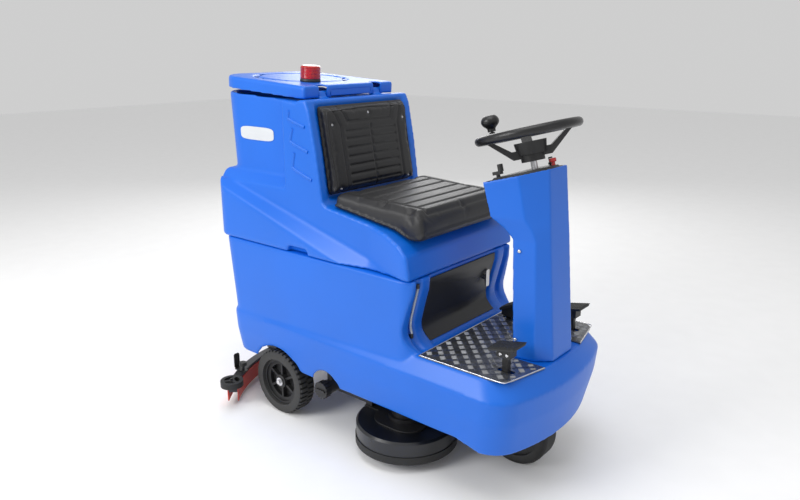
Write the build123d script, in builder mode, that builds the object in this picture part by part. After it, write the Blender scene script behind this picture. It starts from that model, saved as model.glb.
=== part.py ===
from build123d import *
import os
from math import cos, radians, sin, tan

# Ride-on floor scrubber: +X is forward, +Y is the driver's left, +Z is up, sizes in millimetres.
# The origin is on the floor, under the middle of the machine's length and width.
# Profiles are drawn with x counted forward from the rear axle, which lies at rear_axle_x.

# Driving dimensions
rear_axle_x = -347.4
drive_axle_x = 866.0
wheel_radius = 125.0
rear_wheel_width = 72.0
rear_wheel_outer_y = 306.0
drive_wheel_width = 76.0
platform_z = 421.0
seam_z = 657.0
shell_wall = 8.0
body_half = 311.0
upper_half = 303.0
tank_half = 230.0
lid_slope = 3.5
dash_tilt = 15.2
rim_radius = 149.0
brush_x = 525.0
brush_y = 180.0
cover_radius = 176.0
squeegee_arc_radius = 588.0
squeegee_middle_x = -352.0
running_gap = 0.05
seam_gap = 1.0

os.makedirs("parts", exist_ok=True)


def level(z, x=0.0, y=0.0):
    """Horizontal plane at height z, with its origin x forward of the rear axle."""
    return Plane(origin=(rear_axle_x + x, y, z), x_dir=(1, 0, 0), z_dir=(0, 0, 1))


def upright(y, x=0.0, z=0.0):
    """Lengthwise vertical plane: local x forward, local y up, normal to the driver's right."""
    return Plane(origin=(rear_axle_x + x, y, z), x_dir=(1, 0, 0), z_dir=(0, -1, 0))


def across(x, y=0.0, z=0.0):
    """Crosswise vertical plane: local x to the driver's left, local y up, normal forward."""
    return Plane(origin=(rear_axle_x + x, y, z), x_dir=(0, 1, 0), z_dir=(1, 0, 0))


def tilted(x, y, z, angle):
    """Plane whose front edge is raised by angle; local x forward, local y left."""
    slope = radians(angle)
    return Plane(
        origin=(rear_axle_x + x, y, z),
        x_dir=(cos(slope), 0, sin(slope)),
        z_dir=(-sin(slope), 0, cos(slope)),
    )


def plan_outline(rear, front, rear_half, front_half, rear_round=70.0, front_round=105.0):
    """Plan of the lower body: straight sides that widen forward and a bowed nose."""
    nose_bow = 72.0
    side_end = front - nose_bow
    with BuildSketch() as plan:
        with BuildLine():
            Polyline((side_end, front_half), (rear, rear_half), (rear, -rear_half),
                     (side_end, -front_half))
            ThreePointArc((side_end, -front_half), (front, 0), (side_end, front_half))
        make_face()
        fillet(plan.vertices().group_by(Axis.X)[0], radius=rear_round)
        fillet(plan.vertices().group_by(Axis.X)[-1], radius=front_round)
    return plan.sketch


def footwell_side(setback):
    """Side view of the leg space: its rear edge is the curved front of the battery box."""
    with BuildSketch() as side:
        with BuildLine():
            Polyline((760, 700), (639 - setback, 700), (637 - setback, 622), (619 - setback, 555),
                     (605 - setback, 498), (608 - setback, 466), (631 - setback, 440),
                     (660 - setback, platform_z), (760, platform_z), close=True)
        make_face()
        fillet(side.vertices().sort_by(Axis.X)[1:4], radius=30)
    return side.sketch


def upper_side(inset, base_z):
    """Side view of the upper body: rear bulge, tank shoulder, backrest frame and seat arms."""
    with BuildSketch() as side:
        with BuildLine():
            Polyline((-305 + inset, base_z), (-305 + inset, 827), (-331 + inset, 862),
                     (-331 + inset, 896), (-318 + inset, 908 - inset), (40 + inset, 908 - inset),
                     (40 + inset, 1181 - inset), (159 - inset, 1181 - inset),
                     (175 - inset, 1147), (201 - inset, 1015), (225 - inset, 847),
                     (240 - inset, 833 - inset), (410, 808 - inset), (520, 789 - inset),
                     (586, 764 - inset), (620 - inset, 735), (639 - inset, base_z), close=True)
        make_face()
    return side.sketch


def gear_outline(teeth, module, first_tooth):
    """Spur gear with straight-sided teeth and free backlash."""
    pitch = teeth * module / 2
    root = pitch - 1.2 * module
    tip = pitch + 0.85 * module
    with BuildSketch() as gear:
        Circle(root)
        with PolarLocations(0, teeth, start_angle=first_tooth):
            Polygon((root - 2, -0.85 * module), (tip, -0.3 * module), (tip, 0.3 * module),
                    (root - 2, 0.85 * module), align=None)
    return gear.sketch


# ---------------------------------------------------------------- lower body
battery_floor_z = 262.0
with BuildPart() as solution_tank:
    # skirt and nose, from the bottom edge over the two creases to the platform edge
    with BuildSketch(level(165)):
        add(plan_outline(-258, 1024, 290, 302))
    with BuildSketch(level(290)):
        add(plan_outline(-268, 1050, 308, 326))
    with BuildSketch(level(365)):
        add(plan_outline(-270, 1056, 312, 332))
    with BuildSketch(level(platform_z)):
        add(plan_outline(-236, 1018, 286, 296))
    loft(ruled=True)
    # the skirt's top edge rises forward along the side and fades into the crease
    with BuildSketch(upright(340)):
        Polygon((-300, 322), (-300, 500), (330, 500), (330, 421), align=None)
    extrude(amount=28, mode=Mode.SUBTRACT)
    with BuildSketch(upright(-312)):
        Polygon((-300, 322), (-300, 500), (330, 500), (330, 421), align=None)
    extrude(amount=28, mode=Mode.SUBTRACT)
    with BuildSketch(upright(340)):
        Polygon((-300, 322), (-300, 480), (-250, 480), (-248, 322), align=None)
    extrude(amount=680, mode=Mode.SUBTRACT)
    # battery box, leaning out towards its top
    with BuildSketch(level(318, -246)):
        RectangleRounded(906, 2 * body_half, 62, align=(Align.MIN, Align.CENTER))
    with BuildSketch(level(seam_z, -304)):
        RectangleRounded(964, 2 * (upper_half - 1), 75, align=(Align.MIN, Align.CENTER))
    loft(ruled=True)
    # leg space, panel recess and the two hose grooves
    with BuildSketch(upright(345)):
        add(footwell_side(0))
    extrude(amount=690, mode=Mode.SUBTRACT)
    with BuildSketch(upright(196)):
        add(footwell_side(14))
    extrude(amount=392, mode=Mode.SUBTRACT)
    for groove_y in (-255, 255):
        with BuildSketch(upright(groove_y + 12)):
            add(footwell_side(16))
        extrude(amount=24, mode=Mode.SUBTRACT)
    # bottom edge: straight along the side, lower under the nose
    with BuildSketch(upright(345)):
        Polygon((-300, 150), (-300, 215), (-255, 196), (160, 196), (820, 196), (862, 186),
                (900, 174), (1100, 172), (1100, 150), align=None)
    extrude(amount=690, mode=Mode.SUBTRACT)
    # wheel arches and the small arches over the filter
    with BuildSketch(upright(345, -3, wheel_radius)):
        Circle(143)
    extrude(amount=690, mode=Mode.SUBTRACT)
    with BuildSketch(upright(345, 252, 178)):
        Circle(68)
    extrude(amount=690, mode=Mode.SUBTRACT)
    # space under the floor and under the nose
    with BuildSketch(level(140)):
        add(plan_outline(-248, 1012, 280, 292, 60, 96))
    with BuildSketch(level(battery_floor_z)):
        add(plan_outline(-258, 1036, 296, 312, 60, 96))
    loft(ruled=True, mode=Mode.SUBTRACT)
    with BuildSketch(level(battery_floor_z)):
        add(plan_outline(600, 1036, 306, 312, 12, 96))
    with BuildSketch(level(365)):
        add(plan_outline(600, 1046, 314, 320, 12, 96))
    with BuildSketch(level(platform_z - 12)):
        add(plan_outline(600, 1010, 290, 290, 12, 80))
    loft(ruled=True, mode=Mode.SUBTRACT)
    # battery bay, open at the top
    with BuildSketch(level(272, -186)):
        RectangleRounded(746, 470, 25, align=(Align.MIN, Align.CENTER))
    extrude(amount=400, mode=Mode.SUBTRACT)
    # water space: two side pods joined behind the battery bay
    for pod_y in (-267, 267):
        with BuildSketch(level(320, -180, pod_y)):
            Rectangle(756, 44, align=(Align.MIN, Align.CENTER))
        extrude(amount=325, mode=Mode.SUBTRACT)
    with BuildSketch(level(330, -230)):
        Rectangle(34, 578, align=(Align.MIN, Align.CENTER))
    extrude(amount=315, mode=Mode.SUBTRACT)
    # filling mouth in the left pod's top, hose bores, steering and pedal passages
    with BuildSketch(level(640, 440, 267)):
        Circle(17)
    extrude(amount=30, mode=Mode.SUBTRACT)
    for bore_z in (635.5, 462.5):
        with BuildSketch(across(570, -255, bore_z)):
            Circle(5)
        extrude(amount=60, mode=Mode.SUBTRACT)
    with BuildSketch(level(400, 939.5)):
        Circle(9 + running_gap)
    extrude(amount=30, mode=Mode.SUBTRACT)
    for slot_y in (-212, 212):
        with BuildSketch(level(400, 932, slot_y)):
            RectangleRounded(60, 26, 8)
        extrude(amount=30, mode=Mode.SUBTRACT)
    with BuildSketch(level(400, 716, 168)):
        RectangleRounded(62, 26, 8)
    extrude(amount=30, mode=Mode.SUBTRACT)
solution_tank.part.label = "solution_tank"
export_step(solution_tank.part, "parts/solution_tank.step")

# tread plate: one sheet round three sides of the steering column
with BuildPart() as tread_plate:
    with BuildSketch(level(platform_z)) as tread_outline:
        with BuildLine():
            Polyline((662, 291), (662, -291), (973, -291), (1011, -119), (1011, 119), (973, 291),
                     close=True)
        make_face()
        fillet(tread_outline.vertices().group_by(Axis.X)[-2], radius=52)
        with Locations((1000, 0)):
            Rectangle(226, 236, mode=Mode.SUBTRACT)
        for slot_y in (-212, 212):
            with Locations((932, slot_y)):
                RectangleRounded(56, 22, 7, mode=Mode.SUBTRACT)
        with Locations((716, 168)):
            RectangleRounded(56, 22, 7, mode=Mode.SUBTRACT)
    extrude(amount=4)
tread_plate.part.label = "tread_plate"
export_step(tread_plate.part, "parts/tread_plate.step")

# lift-off cover of the electrical bay, bent to the front of the battery box
with BuildPart() as access_panel:
    with BuildSketch(upright(191)):
        add(footwell_side(13.5))
        add(footwell_side(7.5), mode=Mode.SUBTRACT)
        with Locations((700, 700)):
            Rectangle(400, 110, mode=Mode.SUBTRACT)
        with Locations((720, 415)):
            Rectangle(300, 36, mode=Mode.SUBTRACT)
    extrude(amount=382)
    with BuildSketch(across(560, 150, 560)):
        Circle(8.05)
    extrude(amount=90, mode=Mode.SUBTRACT)
access_panel.part.label = "access_panel"
export_step(access_panel.part, "parts/access_panel.step")

# quarter-turn latch of the access panel: a spindle with a paddle in front and a tongue behind
with BuildPart() as panel_latch:
    with BuildSketch(across(610, 150, 560)):
        Circle(8)
    extrude(amount=14)
    with BuildSketch(across(623, 150, 560)):
        RectangleRounded(20, 62, 6)
    extrude(amount=6)
panel_latch.part.label = "panel_latch"
export_step(panel_latch.part, "parts/panel_latch.step")

# water level hose in the right groove, held by an elbow at each end
hose_route = [(630, 628), (622, 596), (611.5, 556), (603, 522), (600, 494), (606, 470)]
with BuildPart() as level_hose:
    with BuildLine(upright(-255)) as hose_line:
        FilletPolyline(hose_route, radius=50)
    with BuildSketch(Plane(origin=hose_line.line @ 0, z_dir=hose_line.line % 0)):
        Circle(4)
    sweep()
level_hose.part.label = "level_hose"
export_step(level_hose.part, "parts/level_hose.step")

with BuildPart() as hose_elbows:
    for elbow_x, elbow_low_z in ((630, 628.5), (606, 455.5)):
        with BuildSketch(level(elbow_low_z, elbow_x, -255)):
            Circle(5.5)
        extrude(amount=14)
        with BuildSketch(across(elbow_x - 34, -255, elbow_low_z + 7)):
            Circle(4.5)
        extrude(amount=32)
hose_elbows.part.label = "hose_elbows"
export_step(hose_elbows.part, "parts/hose_elbows.step")

# ---------------------------------------------------------------- frame and running gear
rail_y = 150.0
rail_top = battery_floor_z - 0.5
axle_radius = 10.0
pin_radius = 6.0
deck_arm_x = 195.0
deck_arm_length = 180.0
deck_arm_low_z = 134.0
deck_arm_high_z = 190.0
squeegee_arm_x = -180.0
squeegee_arm_length = 95.0
squeegee_arm_low_z = 120.0
squeegee_arm_high_z = 160.0
actuator_x = 420.0
arm_pins = ((deck_arm_x, deck_arm_low_z), (deck_arm_x, deck_arm_high_z),
            (squeegee_arm_x, squeegee_arm_low_z), (squeegee_arm_x, squeegee_arm_high_z))
with BuildPart() as chassis_frame:
    for side in (-1, 1):
        with BuildSketch(level(rail_top - 38, -225, side * rail_y)):
            Rectangle(1225, 36, align=(Align.MIN, Align.CENTER))
        extrude(amount=38)
        with BuildSketch(upright(side * rail_y + 5, 0, 0)):
            Polygon((-45, 240), (-24, 104), (24, 104), (45, 240), align=None)
        extrude(amount=10)
    for cross_x in (-225, 250, 690):
        with BuildSketch(level(rail_top - 38, cross_x)):
            Rectangle(36, 2 * rail_y, align=(Align.MIN, Align.CENTER))
        extrude(amount=38)
    # turret plate over the drive wheel
    with BuildSketch(level(rail_top, 716)):
        Rectangle(280, 330, align=(Align.MIN, Align.CENTER))
    extrude(amount=8)
    with BuildSketch(level(rail_top - 12, drive_axle_x)):
        Circle(62 + 0.4)
    extrude(amount=40, mode=Mode.SUBTRACT)
    # ears that carry the deck arms
    with BuildSketch(level(rail_top - 34, deck_arm_x - 14)):
        Rectangle(28, 430, align=(Align.MIN, Align.CENTER))
    extrude(amount=10)
    for ear_y, ear_low in ((-207, 120), (-193, 120), (-7, 176), (7, 176), (193, 120), (207, 120)):
        with BuildSketch(upright(ear_y + 2, deck_arm_x, ear_low)):
            Rectangle(28, rail_top - 30 - ear_low, align=(Align.CENTER, Align.MIN))
        extrude(amount=4)
    # ears that carry the squeegee arms
    for ear_y, ear_low in ((-38, 106), (-24, 106), (-7, 146), (7, 146), (24, 106), (38, 106)):
        with BuildSketch(upright(ear_y + 2, squeegee_arm_x, ear_low)):
            Rectangle(28, rail_top - 30 - ear_low, align=(Align.CENTER, Align.MIN))
        extrude(amount=4)
    with BuildSketch(level(rail_top - 38, squeegee_arm_x - 20)):
        Rectangle(40, 2 * rail_y, align=(Align.MIN, Align.CENTER))
    extrude(amount=38)
    # cross member of the lift actuator
    with BuildSketch(level(rail_top - 12, actuator_x - 30)):
        Rectangle(60, 2 * rail_y, align=(Align.MIN, Align.CENTER))
    extrude(amount=12)
    # axle and arm pin holes
    with BuildSketch(upright(200, 0, wheel_radius)):
        Circle(axle_radius)
    extrude(amount=400, mode=Mode.SUBTRACT)
    for pin_x, pin_z in arm_pins:
        with BuildSketch(upright(230, pin_x, pin_z)):
            Circle(pin_radius + running_gap)
        extrude(amount=460, mode=Mode.SUBTRACT)
chassis_frame.part.label = "chassis_frame"
export_step(chassis_frame.part, "parts/chassis_frame.step")

# rear axle with the washer and hexagon head that close each end
with BuildPart() as rear_axle:
    with BuildSketch(upright(rear_wheel_outer_y - 6, 0, wheel_radius)):
        Circle(axle_radius)
    extrude(amount=2 * (rear_wheel_outer_y - 6))
    for washer_face, head_face in ((300.4, 308.0), (-298.0, -298.0)):
        with BuildSketch(upright(washer_face, 0, wheel_radius)):
            Circle(16)
        extrude(amount=2.4)
        with BuildSketch(upright(head_face, 0, wheel_radius)):
            RegularPolygon(9, 6)
        extrude(amount=10)
rear_axle.part.label = "rear_axle"
export_step(rear_axle.part, "parts/rear_axle.step")

# rear wheel: spoked plastic rim and cross-grooved tyre, the right one first
hub_inner_y = -234.0
hub_outer_y = -297.6
tyre_inner_radius = 91.0
with BuildPart() as rear_rim_right:
    with BuildSketch(upright(hub_inner_y - 2, 0, wheel_radius)):
        Circle(tyre_inner_radius)
        Circle(80, mode=Mode.SUBTRACT)
        Circle(26)
    extrude(amount=60)
    with BuildSketch(upright(-262, 0, wheel_radius)):
        Circle(84)
    extrude(amount=8)
    with BuildSketch(upright(-262, 0, wheel_radius)):
        with PolarLocations(52, 6, start_angle=30):
            Rectangle(66, 9)
        Circle(84)
        Circle(66, mode=Mode.SUBTRACT)
        with PolarLocations(40, 6, start_angle=30):
            Rectangle(60, 9)
    extrude(amount=26)
    with BuildSketch(upright(-262, 0, wheel_radius)):
        Circle(26)
    extrude(amount=262 + hub_outer_y, mode=Mode.ADD)
    with BuildSketch(upright(-200, 0, wheel_radius)):
        Circle(axle_radius + running_gap)
    extrude(amount=110, mode=Mode.SUBTRACT)
rear_rim_right.part.label = "rear_rim_right"
export_step(rear_rim_right.part, "parts/rear_rim_right.step")

with BuildPart() as rear_tyre_right:
    with BuildSketch(upright(hub_inner_y, 0, wheel_radius)):
        Circle(wheel_radius)
        Circle(tyre_inner_radius, mode=Mode.SUBTRACT)
    extrude(amount=rear_wheel_width)
    chamfer(rear_tyre_right.edges().filter_by(GeomType.CIRCLE).group_by(SortBy.RADIUS)[-1], 6)
    for row_start, row_turn in ((-2, 0.0), (38, 4.5)):
        with BuildSketch(upright(hub_inner_y - row_start, 0, wheel_radius)):
            with PolarLocations(wheel_radius, 40, start_angle=row_turn):
                Rectangle(9, 7)
        extrude(amount=36, mode=Mode.SUBTRACT)
rear_tyre_right.part.label = "rear_tyre_right"
export_step(rear_tyre_right.part, "parts/rear_tyre_right.step")

with BuildPart() as rear_rim_left:
    add(mirror(rear_rim_right.part, about=Plane.XZ, mode=Mode.PRIVATE))
rear_rim_left.part.label = "rear_rim_left"
export_step(rear_rim_left.part, "parts/rear_rim_left.step")

with BuildPart() as rear_tyre_left:
    add(mirror(rear_tyre_right.part, about=Plane.XZ, mode=Mode.PRIVATE))
rear_tyre_left.part.label = "rear_tyre_left"
export_step(rear_tyre_left.part, "parts/rear_tyre_left.step")

# ---------------------------------------------------------------- drive unit
steer_module = 3.5
steer_ring_teeth = 54
steer_pinion_teeth = 12
pinion_x = drive_axle_x + steer_module * (steer_ring_teeth - steer_pinion_teeth) / 2
gear_z = 288.0
ring_outer_radius = 104.0
ring_tip_radius = steer_module * (steer_ring_teeth / 2 - 0.85)
with BuildPart() as drive_fork:
    with BuildSketch(level(252, drive_axle_x)):
        Rectangle(96, 118)
    extrude(amount=8.5)
    with BuildSketch(level(256, drive_axle_x)):
        Circle(62 + 0.4 - running_gap)
    extrude(amount=24)
    for side_y in (59, -49):
        with BuildSketch(upright(side_y, drive_axle_x)):
            Polygon((-40, 258), (-18, 106), (18, 106), (40, 258), align=None)
        extrude(amount=10)
    with BuildSketch(upright(60, drive_axle_x, wheel_radius)):
        Circle(axle_radius)
    extrude(amount=120)
    # internally toothed steering ring, carried above the turret plate
    with BuildSketch(level(gear_z - 8, drive_axle_x)):
        Circle(ring_outer_radius)
    extrude(amount=20)
    with BuildSketch(level(gear_z, drive_axle_x)):
        Circle(ring_tip_radius)
        with PolarLocations(0, steer_ring_teeth):
            Polygon((ring_tip_radius - 3, -4.3), (ring_tip_radius + 7.2, -2.4),
                    (ring_tip_radius + 7.2, 2.4), (ring_tip_radius - 3, 4.3), align=None)
    extrude(amount=12, mode=Mode.SUBTRACT)
drive_fork.part.label = "drive_fork"
export_step(drive_fork.part, "parts/drive_fork.step")

with BuildPart() as traction_motor:
    with BuildSketch(level(gear_z, drive_axle_x)):
        Circle(42)
    extrude(amount=104)
    fillet(traction_motor.edges().group_by(Axis.Z)[-1], 6)
traction_motor.part.label = "traction_motor"
export_step(traction_motor.part, "parts/traction_motor.step")

with BuildPart() as drive_rim:
    with BuildSketch(upright(42, drive_axle_x, wheel_radius)):
        Circle(30)
    extrude(amount=84)
    with BuildSketch(upright(30, drive_axle_x, wheel_radius)):
        Circle(92)
    extrude(amount=60)
    with BuildSketch(upright(60, drive_axle_x, wheel_radius)):
        Circle(axle_radius + running_gap)
    extrude(amount=120, mode=Mode.SUBTRACT)
drive_rim.part.label = "drive_rim"
export_step(drive_rim.part, "parts/drive_rim.step")

with BuildPart() as drive_tyre:
    with BuildSketch(upright(drive_wheel_width / 2, drive_axle_x, wheel_radius)):
        Circle(wheel_radius)
        Circle(92, mode=Mode.SUBTRACT)
    extrude(amount=drive_wheel_width)
    fillet(drive_tyre.edges().filter_by(GeomType.CIRCLE).group_by(SortBy.RADIUS)[-1], 12)
drive_tyre.part.label = "drive_tyre"
export_step(drive_tyre.part, "parts/drive_tyre.step")

# ---------------------------------------------------------------- steering column
def column_section(rear, middle, front, rear_half, middle_half, front_half):
    """Six-sided plan of the column: broad towards the driver, narrow in front."""
    with BuildSketch() as section:
        Polygon((rear, -rear_half), (middle, -middle_half), (front, -front_half),
                (front, front_half), (middle, middle_half), (rear, rear_half), align=None)
    return section.sketch


column_sections = (
    (platform_z - 8, 893, 965, 1009, 112, 100, 62),
    (800, 874, 945, 975, 112, 98, 60),
    (831, 852, 935, 972, 124, 104, 59),
    (864, 812, 915, 969, 142, 116, 58),
    (1040, 766, 880, 952, 154, 124, 54),
)
column_wall = 5.0
with BuildPart() as column_cover:
    for z, rear, middle, front, rear_half, middle_half, front_half in column_sections:
        with BuildSketch(level(z)):
            add(column_section(rear, middle, front, rear_half, middle_half, front_half))
    loft(ruled=True)
    for z, rear, middle, front, rear_half, middle_half, front_half in column_sections:
        inner_z = z - 1 if z < 500 else z + 2
        with BuildSketch(level(inner_z)):
            add(column_section(rear + column_wall, middle, front - column_wall,
                               rear_half - column_wall - 1, middle_half - column_wall - 1,
                               front_half - column_wall))
    loft(ruled=True, mode=Mode.SUBTRACT)
    with BuildSketch(level(400)):
        Rectangle(2400, 300)
    extrude(amount=platform_z + 0.5 - 400, mode=Mode.SUBTRACT)
    with BuildSketch(tilted(873, 0, 991, dash_tilt)):
        Rectangle(500, 500)
    extrude(amount=120, mode=Mode.SUBTRACT)
column_cover.part.label = "column_cover"
export_step(column_cover.part, "parts/column_cover.step")

dash_plane = tilted(873, 0, 991, dash_tilt)
steering_plane = tilted(847, 0, 1106, dash_tilt)
shaft_radius = 10.0
control_places = ((-58, -108), (28, 62), (50, 34))
with BuildPart() as dash_panel:
    with BuildSketch(dash_plane):
        Polygon((-84, -140), (10, -112), (73, -48), (73, 48), (10, 112), (-84, 140), align=None)
    extrude(amount=-4)
    with BuildSketch(dash_plane):
        Polygon((-70, -128), (8, -100), (64, -44), (64, 44), (8, 100), (-70, 128), align=None)
    extrude(amount=5, taper=35)
    with BuildSketch(steering_plane):
        Circle(shaft_radius + running_gap)
    extrude(amount=-200, mode=Mode.SUBTRACT)
    for hole_x, hole_y in control_places:
        with BuildSketch(dash_plane):
            with Locations((hole_x, hole_y)):
                Circle(6.05)
        extrude(amount=30, both=True, mode=Mode.SUBTRACT)
dash_panel.part.label = "dash_panel"
export_step(dash_panel.part, "parts/dash_panel.step")

# steering wheel: padded rim with the spinner knob's pin, dished three-arm hub and its shaft
spinner_angle = 168.0
spinner_plane = Plane(
    origin=steering_plane.from_local_coords(
        (rim_radius * cos(radians(spinner_angle)), rim_radius * sin(radians(spinner_angle)), 14)
    ),
    x_dir=steering_plane.x_dir,
    z_dir=steering_plane.z_dir,
)
with BuildPart() as steering_rim:
    with BuildSketch(Plane(steering_plane.origin, -steering_plane.y_dir, steering_plane.x_dir)):
        with Locations((rim_radius, 0)):
            Circle(14)
    revolve(axis=Axis(steering_plane.origin, steering_plane.z_dir))
    with BuildSketch(spinner_plane.offset(-6)):
        Circle(9)
    extrude(amount=16)
    with BuildSketch(spinner_plane.offset(-6)):
        Circle(5)
    extrude(amount=46)
steering_rim.part.label = "steering_rim"
export_step(steering_rim.part, "parts/steering_rim.step")

hub_drop = 88.0
arm_angles = (35, 125, 215)
with BuildPart() as steering_hub:
    with BuildSketch(steering_plane.offset(-hub_drop)):
        Circle(36)
    extrude(amount=22)
    with BuildSketch(steering_plane.offset(-hub_drop + 22)):
        Circle(44)
    with BuildSketch(steering_plane.offset(-28)):
        Circle(50)
    loft()
    for arm_angle in arm_angles:
        radial = (steering_plane.x_dir * cos(radians(arm_angle))
                  + steering_plane.y_dir * sin(radians(arm_angle)))
        with BuildSketch(Plane(steering_plane.origin, radial, radial.cross(steering_plane.z_dir))):
            Polygon((30, -hub_drop + 12), (58, -hub_drop + 12), (126, -14), (143, -9), (143, 4),
                    (120, -4), (60, -50), (30, -50), align=None)
        extrude(amount=16, both=True)
    with BuildSketch(Plane(steering_plane.origin, -steering_plane.y_dir, steering_plane.x_dir)):
        with Locations((rim_radius, 0)):
            Circle(14)
    revolve(axis=Axis(steering_plane.origin, steering_plane.z_dir), mode=Mode.SUBTRACT)
    with BuildSketch(steering_plane):
        Circle(shaft_radius)
    extrude(amount=-100, mode=Mode.SUBTRACT)
steering_hub.part.label = "steering_hub"
export_step(steering_hub.part, "parts/steering_hub.step")

# the two shafts meet at the flexible coupling, where the tilted axis crosses the upright one
coupling_z = 1106 - (pinion_x - 847) / tan(radians(dash_tilt))
upper_shaft_length = (pinion_x - 847) / sin(radians(dash_tilt))
with BuildPart() as steering_shaft:
    with BuildSketch(steering_plane.offset(-32)):
        Circle(shaft_radius)
    extrude(amount=-(upper_shaft_length - 32 - 20))
    with BuildSketch(steering_plane.offset(-(upper_shaft_length - 20))):
        Circle(20)
    extrude(amount=6)
steering_shaft.part.label = "steering_shaft"
export_step(steering_shaft.part, "parts/steering_shaft.step")

lower_shaft_radius = 9.0
with BuildPart() as lower_steering_shaft:
    with BuildSketch(level(gear_z + 1, pinion_x)):
        Circle(lower_shaft_radius)
    extrude(amount=coupling_z - 8 - gear_z - 1)
    with BuildSketch(level(gear_z + 1, pinion_x)):
        add(gear_outline(steer_pinion_teeth, steer_module, 0))
    extrude(amount=14)
    with BuildSketch(level(coupling_z - 24, pinion_x)):
        Circle(20)
    extrude(amount=16)
lower_steering_shaft.part.label = "lower_steering_shaft"
export_step(lower_steering_shaft.part, "parts/lower_steering_shaft.step")

with BuildPart() as spinner_knob:
    with BuildSketch(Plane(spinner_plane.origin, spinner_plane.x_dir, -spinner_plane.y_dir)):
        with BuildLine():
            Polyline((5 + running_gap, 12), (13, 12), (13, 20))
            Spline((13, 20), (22, 30), (29, 44), (24, 57), (8, 64),
                   tangents=((0.4, 1), (-1, 0)))
            Polyline((8, 64), (0, 64), (0, 45), (5 + running_gap, 45), (5 + running_gap, 12))
        make_face()
    revolve(axis=Axis(spinner_plane.origin, spinner_plane.z_dir))
spinner_knob.part.label = "spinner_knob"
export_step(spinner_knob.part, "parts/spinner_knob.step")

# ---------------------------------------------------------------- dash controls
with BuildPart() as direction_lever:
    with BuildSketch(dash_plane.offset(-14)):
        with Locations(control_places[0]):
            Circle(6)
    extrude(amount=26)
    with BuildSketch(dash_plane.offset(12)):
        with Locations(control_places[0]):
            RectangleRounded(34, 16, 7)
    extrude(amount=10)
    with BuildSketch(dash_plane.offset(20)):
        with Locations((control_places[0][0] + 12, control_places[0][1])):
            RectangleRounded(14, 18, 6)
    extrude(amount=22)
direction_lever.part.label = "direction_lever"
export_step(direction_lever.part, "parts/direction_lever.step")

with BuildPart() as key_switch:
    with BuildSketch(dash_plane.offset(-14)):
        with Locations(control_places[1]):
            Circle(6)
    extrude(amount=22)
    with BuildSketch(dash_plane.offset(7.8)):
        with Locations(control_places[1]):
            Circle(9)
    extrude(amount=7)
    with BuildSketch(dash_plane.offset(14)):
        with Locations(control_places[1]):
            RectangleRounded(7, 18, 3)
    extrude(amount=17)
key_switch.part.label = "key_switch"
export_step(key_switch.part, "parts/key_switch.step")

with BuildPart() as stop_button:
    with BuildSketch(dash_plane.offset(-14)):
        with Locations(control_places[2]):
            Circle(6)
    extrude(amount=30)
    with BuildSketch(dash_plane.offset(15)):
        with Locations(control_places[2]):
            Circle(11)
    extrude(amount=12)
    fillet(stop_button.edges().filter_by(GeomType.CIRCLE).group_by(SortBy.RADIUS)[-1], 2.5)
stop_button.part.label = "stop_button"
export_step(stop_button.part, "parts/stop_button.step")

# ---------------------------------------------------------------- pedals
pedal_pivot_z = 396.0
pedal_x = 932.0
pedal_y = 212.0
lift_pedal_x = 716.0
lift_pedal_y = 168.0
with BuildPart() as pedal_brackets:
    for bracket_x, bracket_y in ((pedal_x, -pedal_y), (pedal_x, pedal_y), (lift_pedal_x, lift_pedal_y)):
        for plate_y in (bracket_y + 12, bracket_y - 9):
            with BuildSketch(upright(plate_y, bracket_x, pedal_pivot_z - 10)):
                Rectangle(24, platform_z - 12.2 - pedal_pivot_z + 10, align=(Align.CENTER, Align.MIN))
            extrude(amount=3)
        with BuildSketch(upright(bracket_y + 14, bracket_x, pedal_pivot_z)):
            Circle(5)
        extrude(amount=28)
pedal_brackets.part.label = "pedal_brackets"
export_step(pedal_brackets.part, "parts/pedal_brackets.step")

pedal_places = (
    ("accelerator", pedal_x, -pedal_y, 888, 975, 506, 524, 70),
    ("brake", pedal_x, pedal_y, 888, 975, 506, 524, 70),
    ("lift", lift_pedal_x, lift_pedal_y, 690, 742, 470, 496, 56),
)
for pedal_name, arm_x, arm_y, heel_x, toe_x, heel_z, toe_z, pad_width in pedal_places:
    with BuildPart() as pedal:
        with BuildSketch(upright(arm_y + 8, arm_x)):
            Polygon((-11, pedal_pivot_z - 12), (11, pedal_pivot_z - 12), (10, heel_z - 12),
                    (-10, heel_z - 12), align=None)
        extrude(amount=16)
        with BuildSketch(upright(arm_y + pad_width / 2, 0)):
            Polygon((heel_x, heel_z - 16), (toe_x, toe_z - 16), (toe_x - 2, toe_z - 10),
                    (heel_x - 2, heel_z - 10), align=None)
        extrude(amount=pad_width)
        with BuildSketch(upright(arm_y + 20, 0)):
            Polygon((arm_x - 24, heel_z - 34), (arm_x + 22, heel_z - 34), (arm_x + 22, heel_z + 10),
                    (arm_x - 24, heel_z + 10), align=None)
        extrude(amount=40)
        with BuildSketch(upright(arm_y + 20, arm_x, pedal_pivot_z)):
            Circle(5 + running_gap)
        extrude(amount=40, mode=Mode.SUBTRACT)
        pad_rise = (toe_z - heel_z) * 20 / (toe_x - heel_x)
        with BuildSketch(upright(arm_y + pad_width, 0)):
            Polygon((heel_x - 22, heel_z - 10 - pad_rise), (toe_x + 18, toe_z - 10 + pad_rise),
                    (toe_x + 20, toe_z + 40), (heel_x - 20, heel_z + 40), align=None)
        extrude(amount=2 * pad_width, mode=Mode.SUBTRACT)
    pedal.part.label = pedal_name + "_pedal"
    export_step(pedal.part, "parts/" + pedal_name + "_pedal.step")

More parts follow.
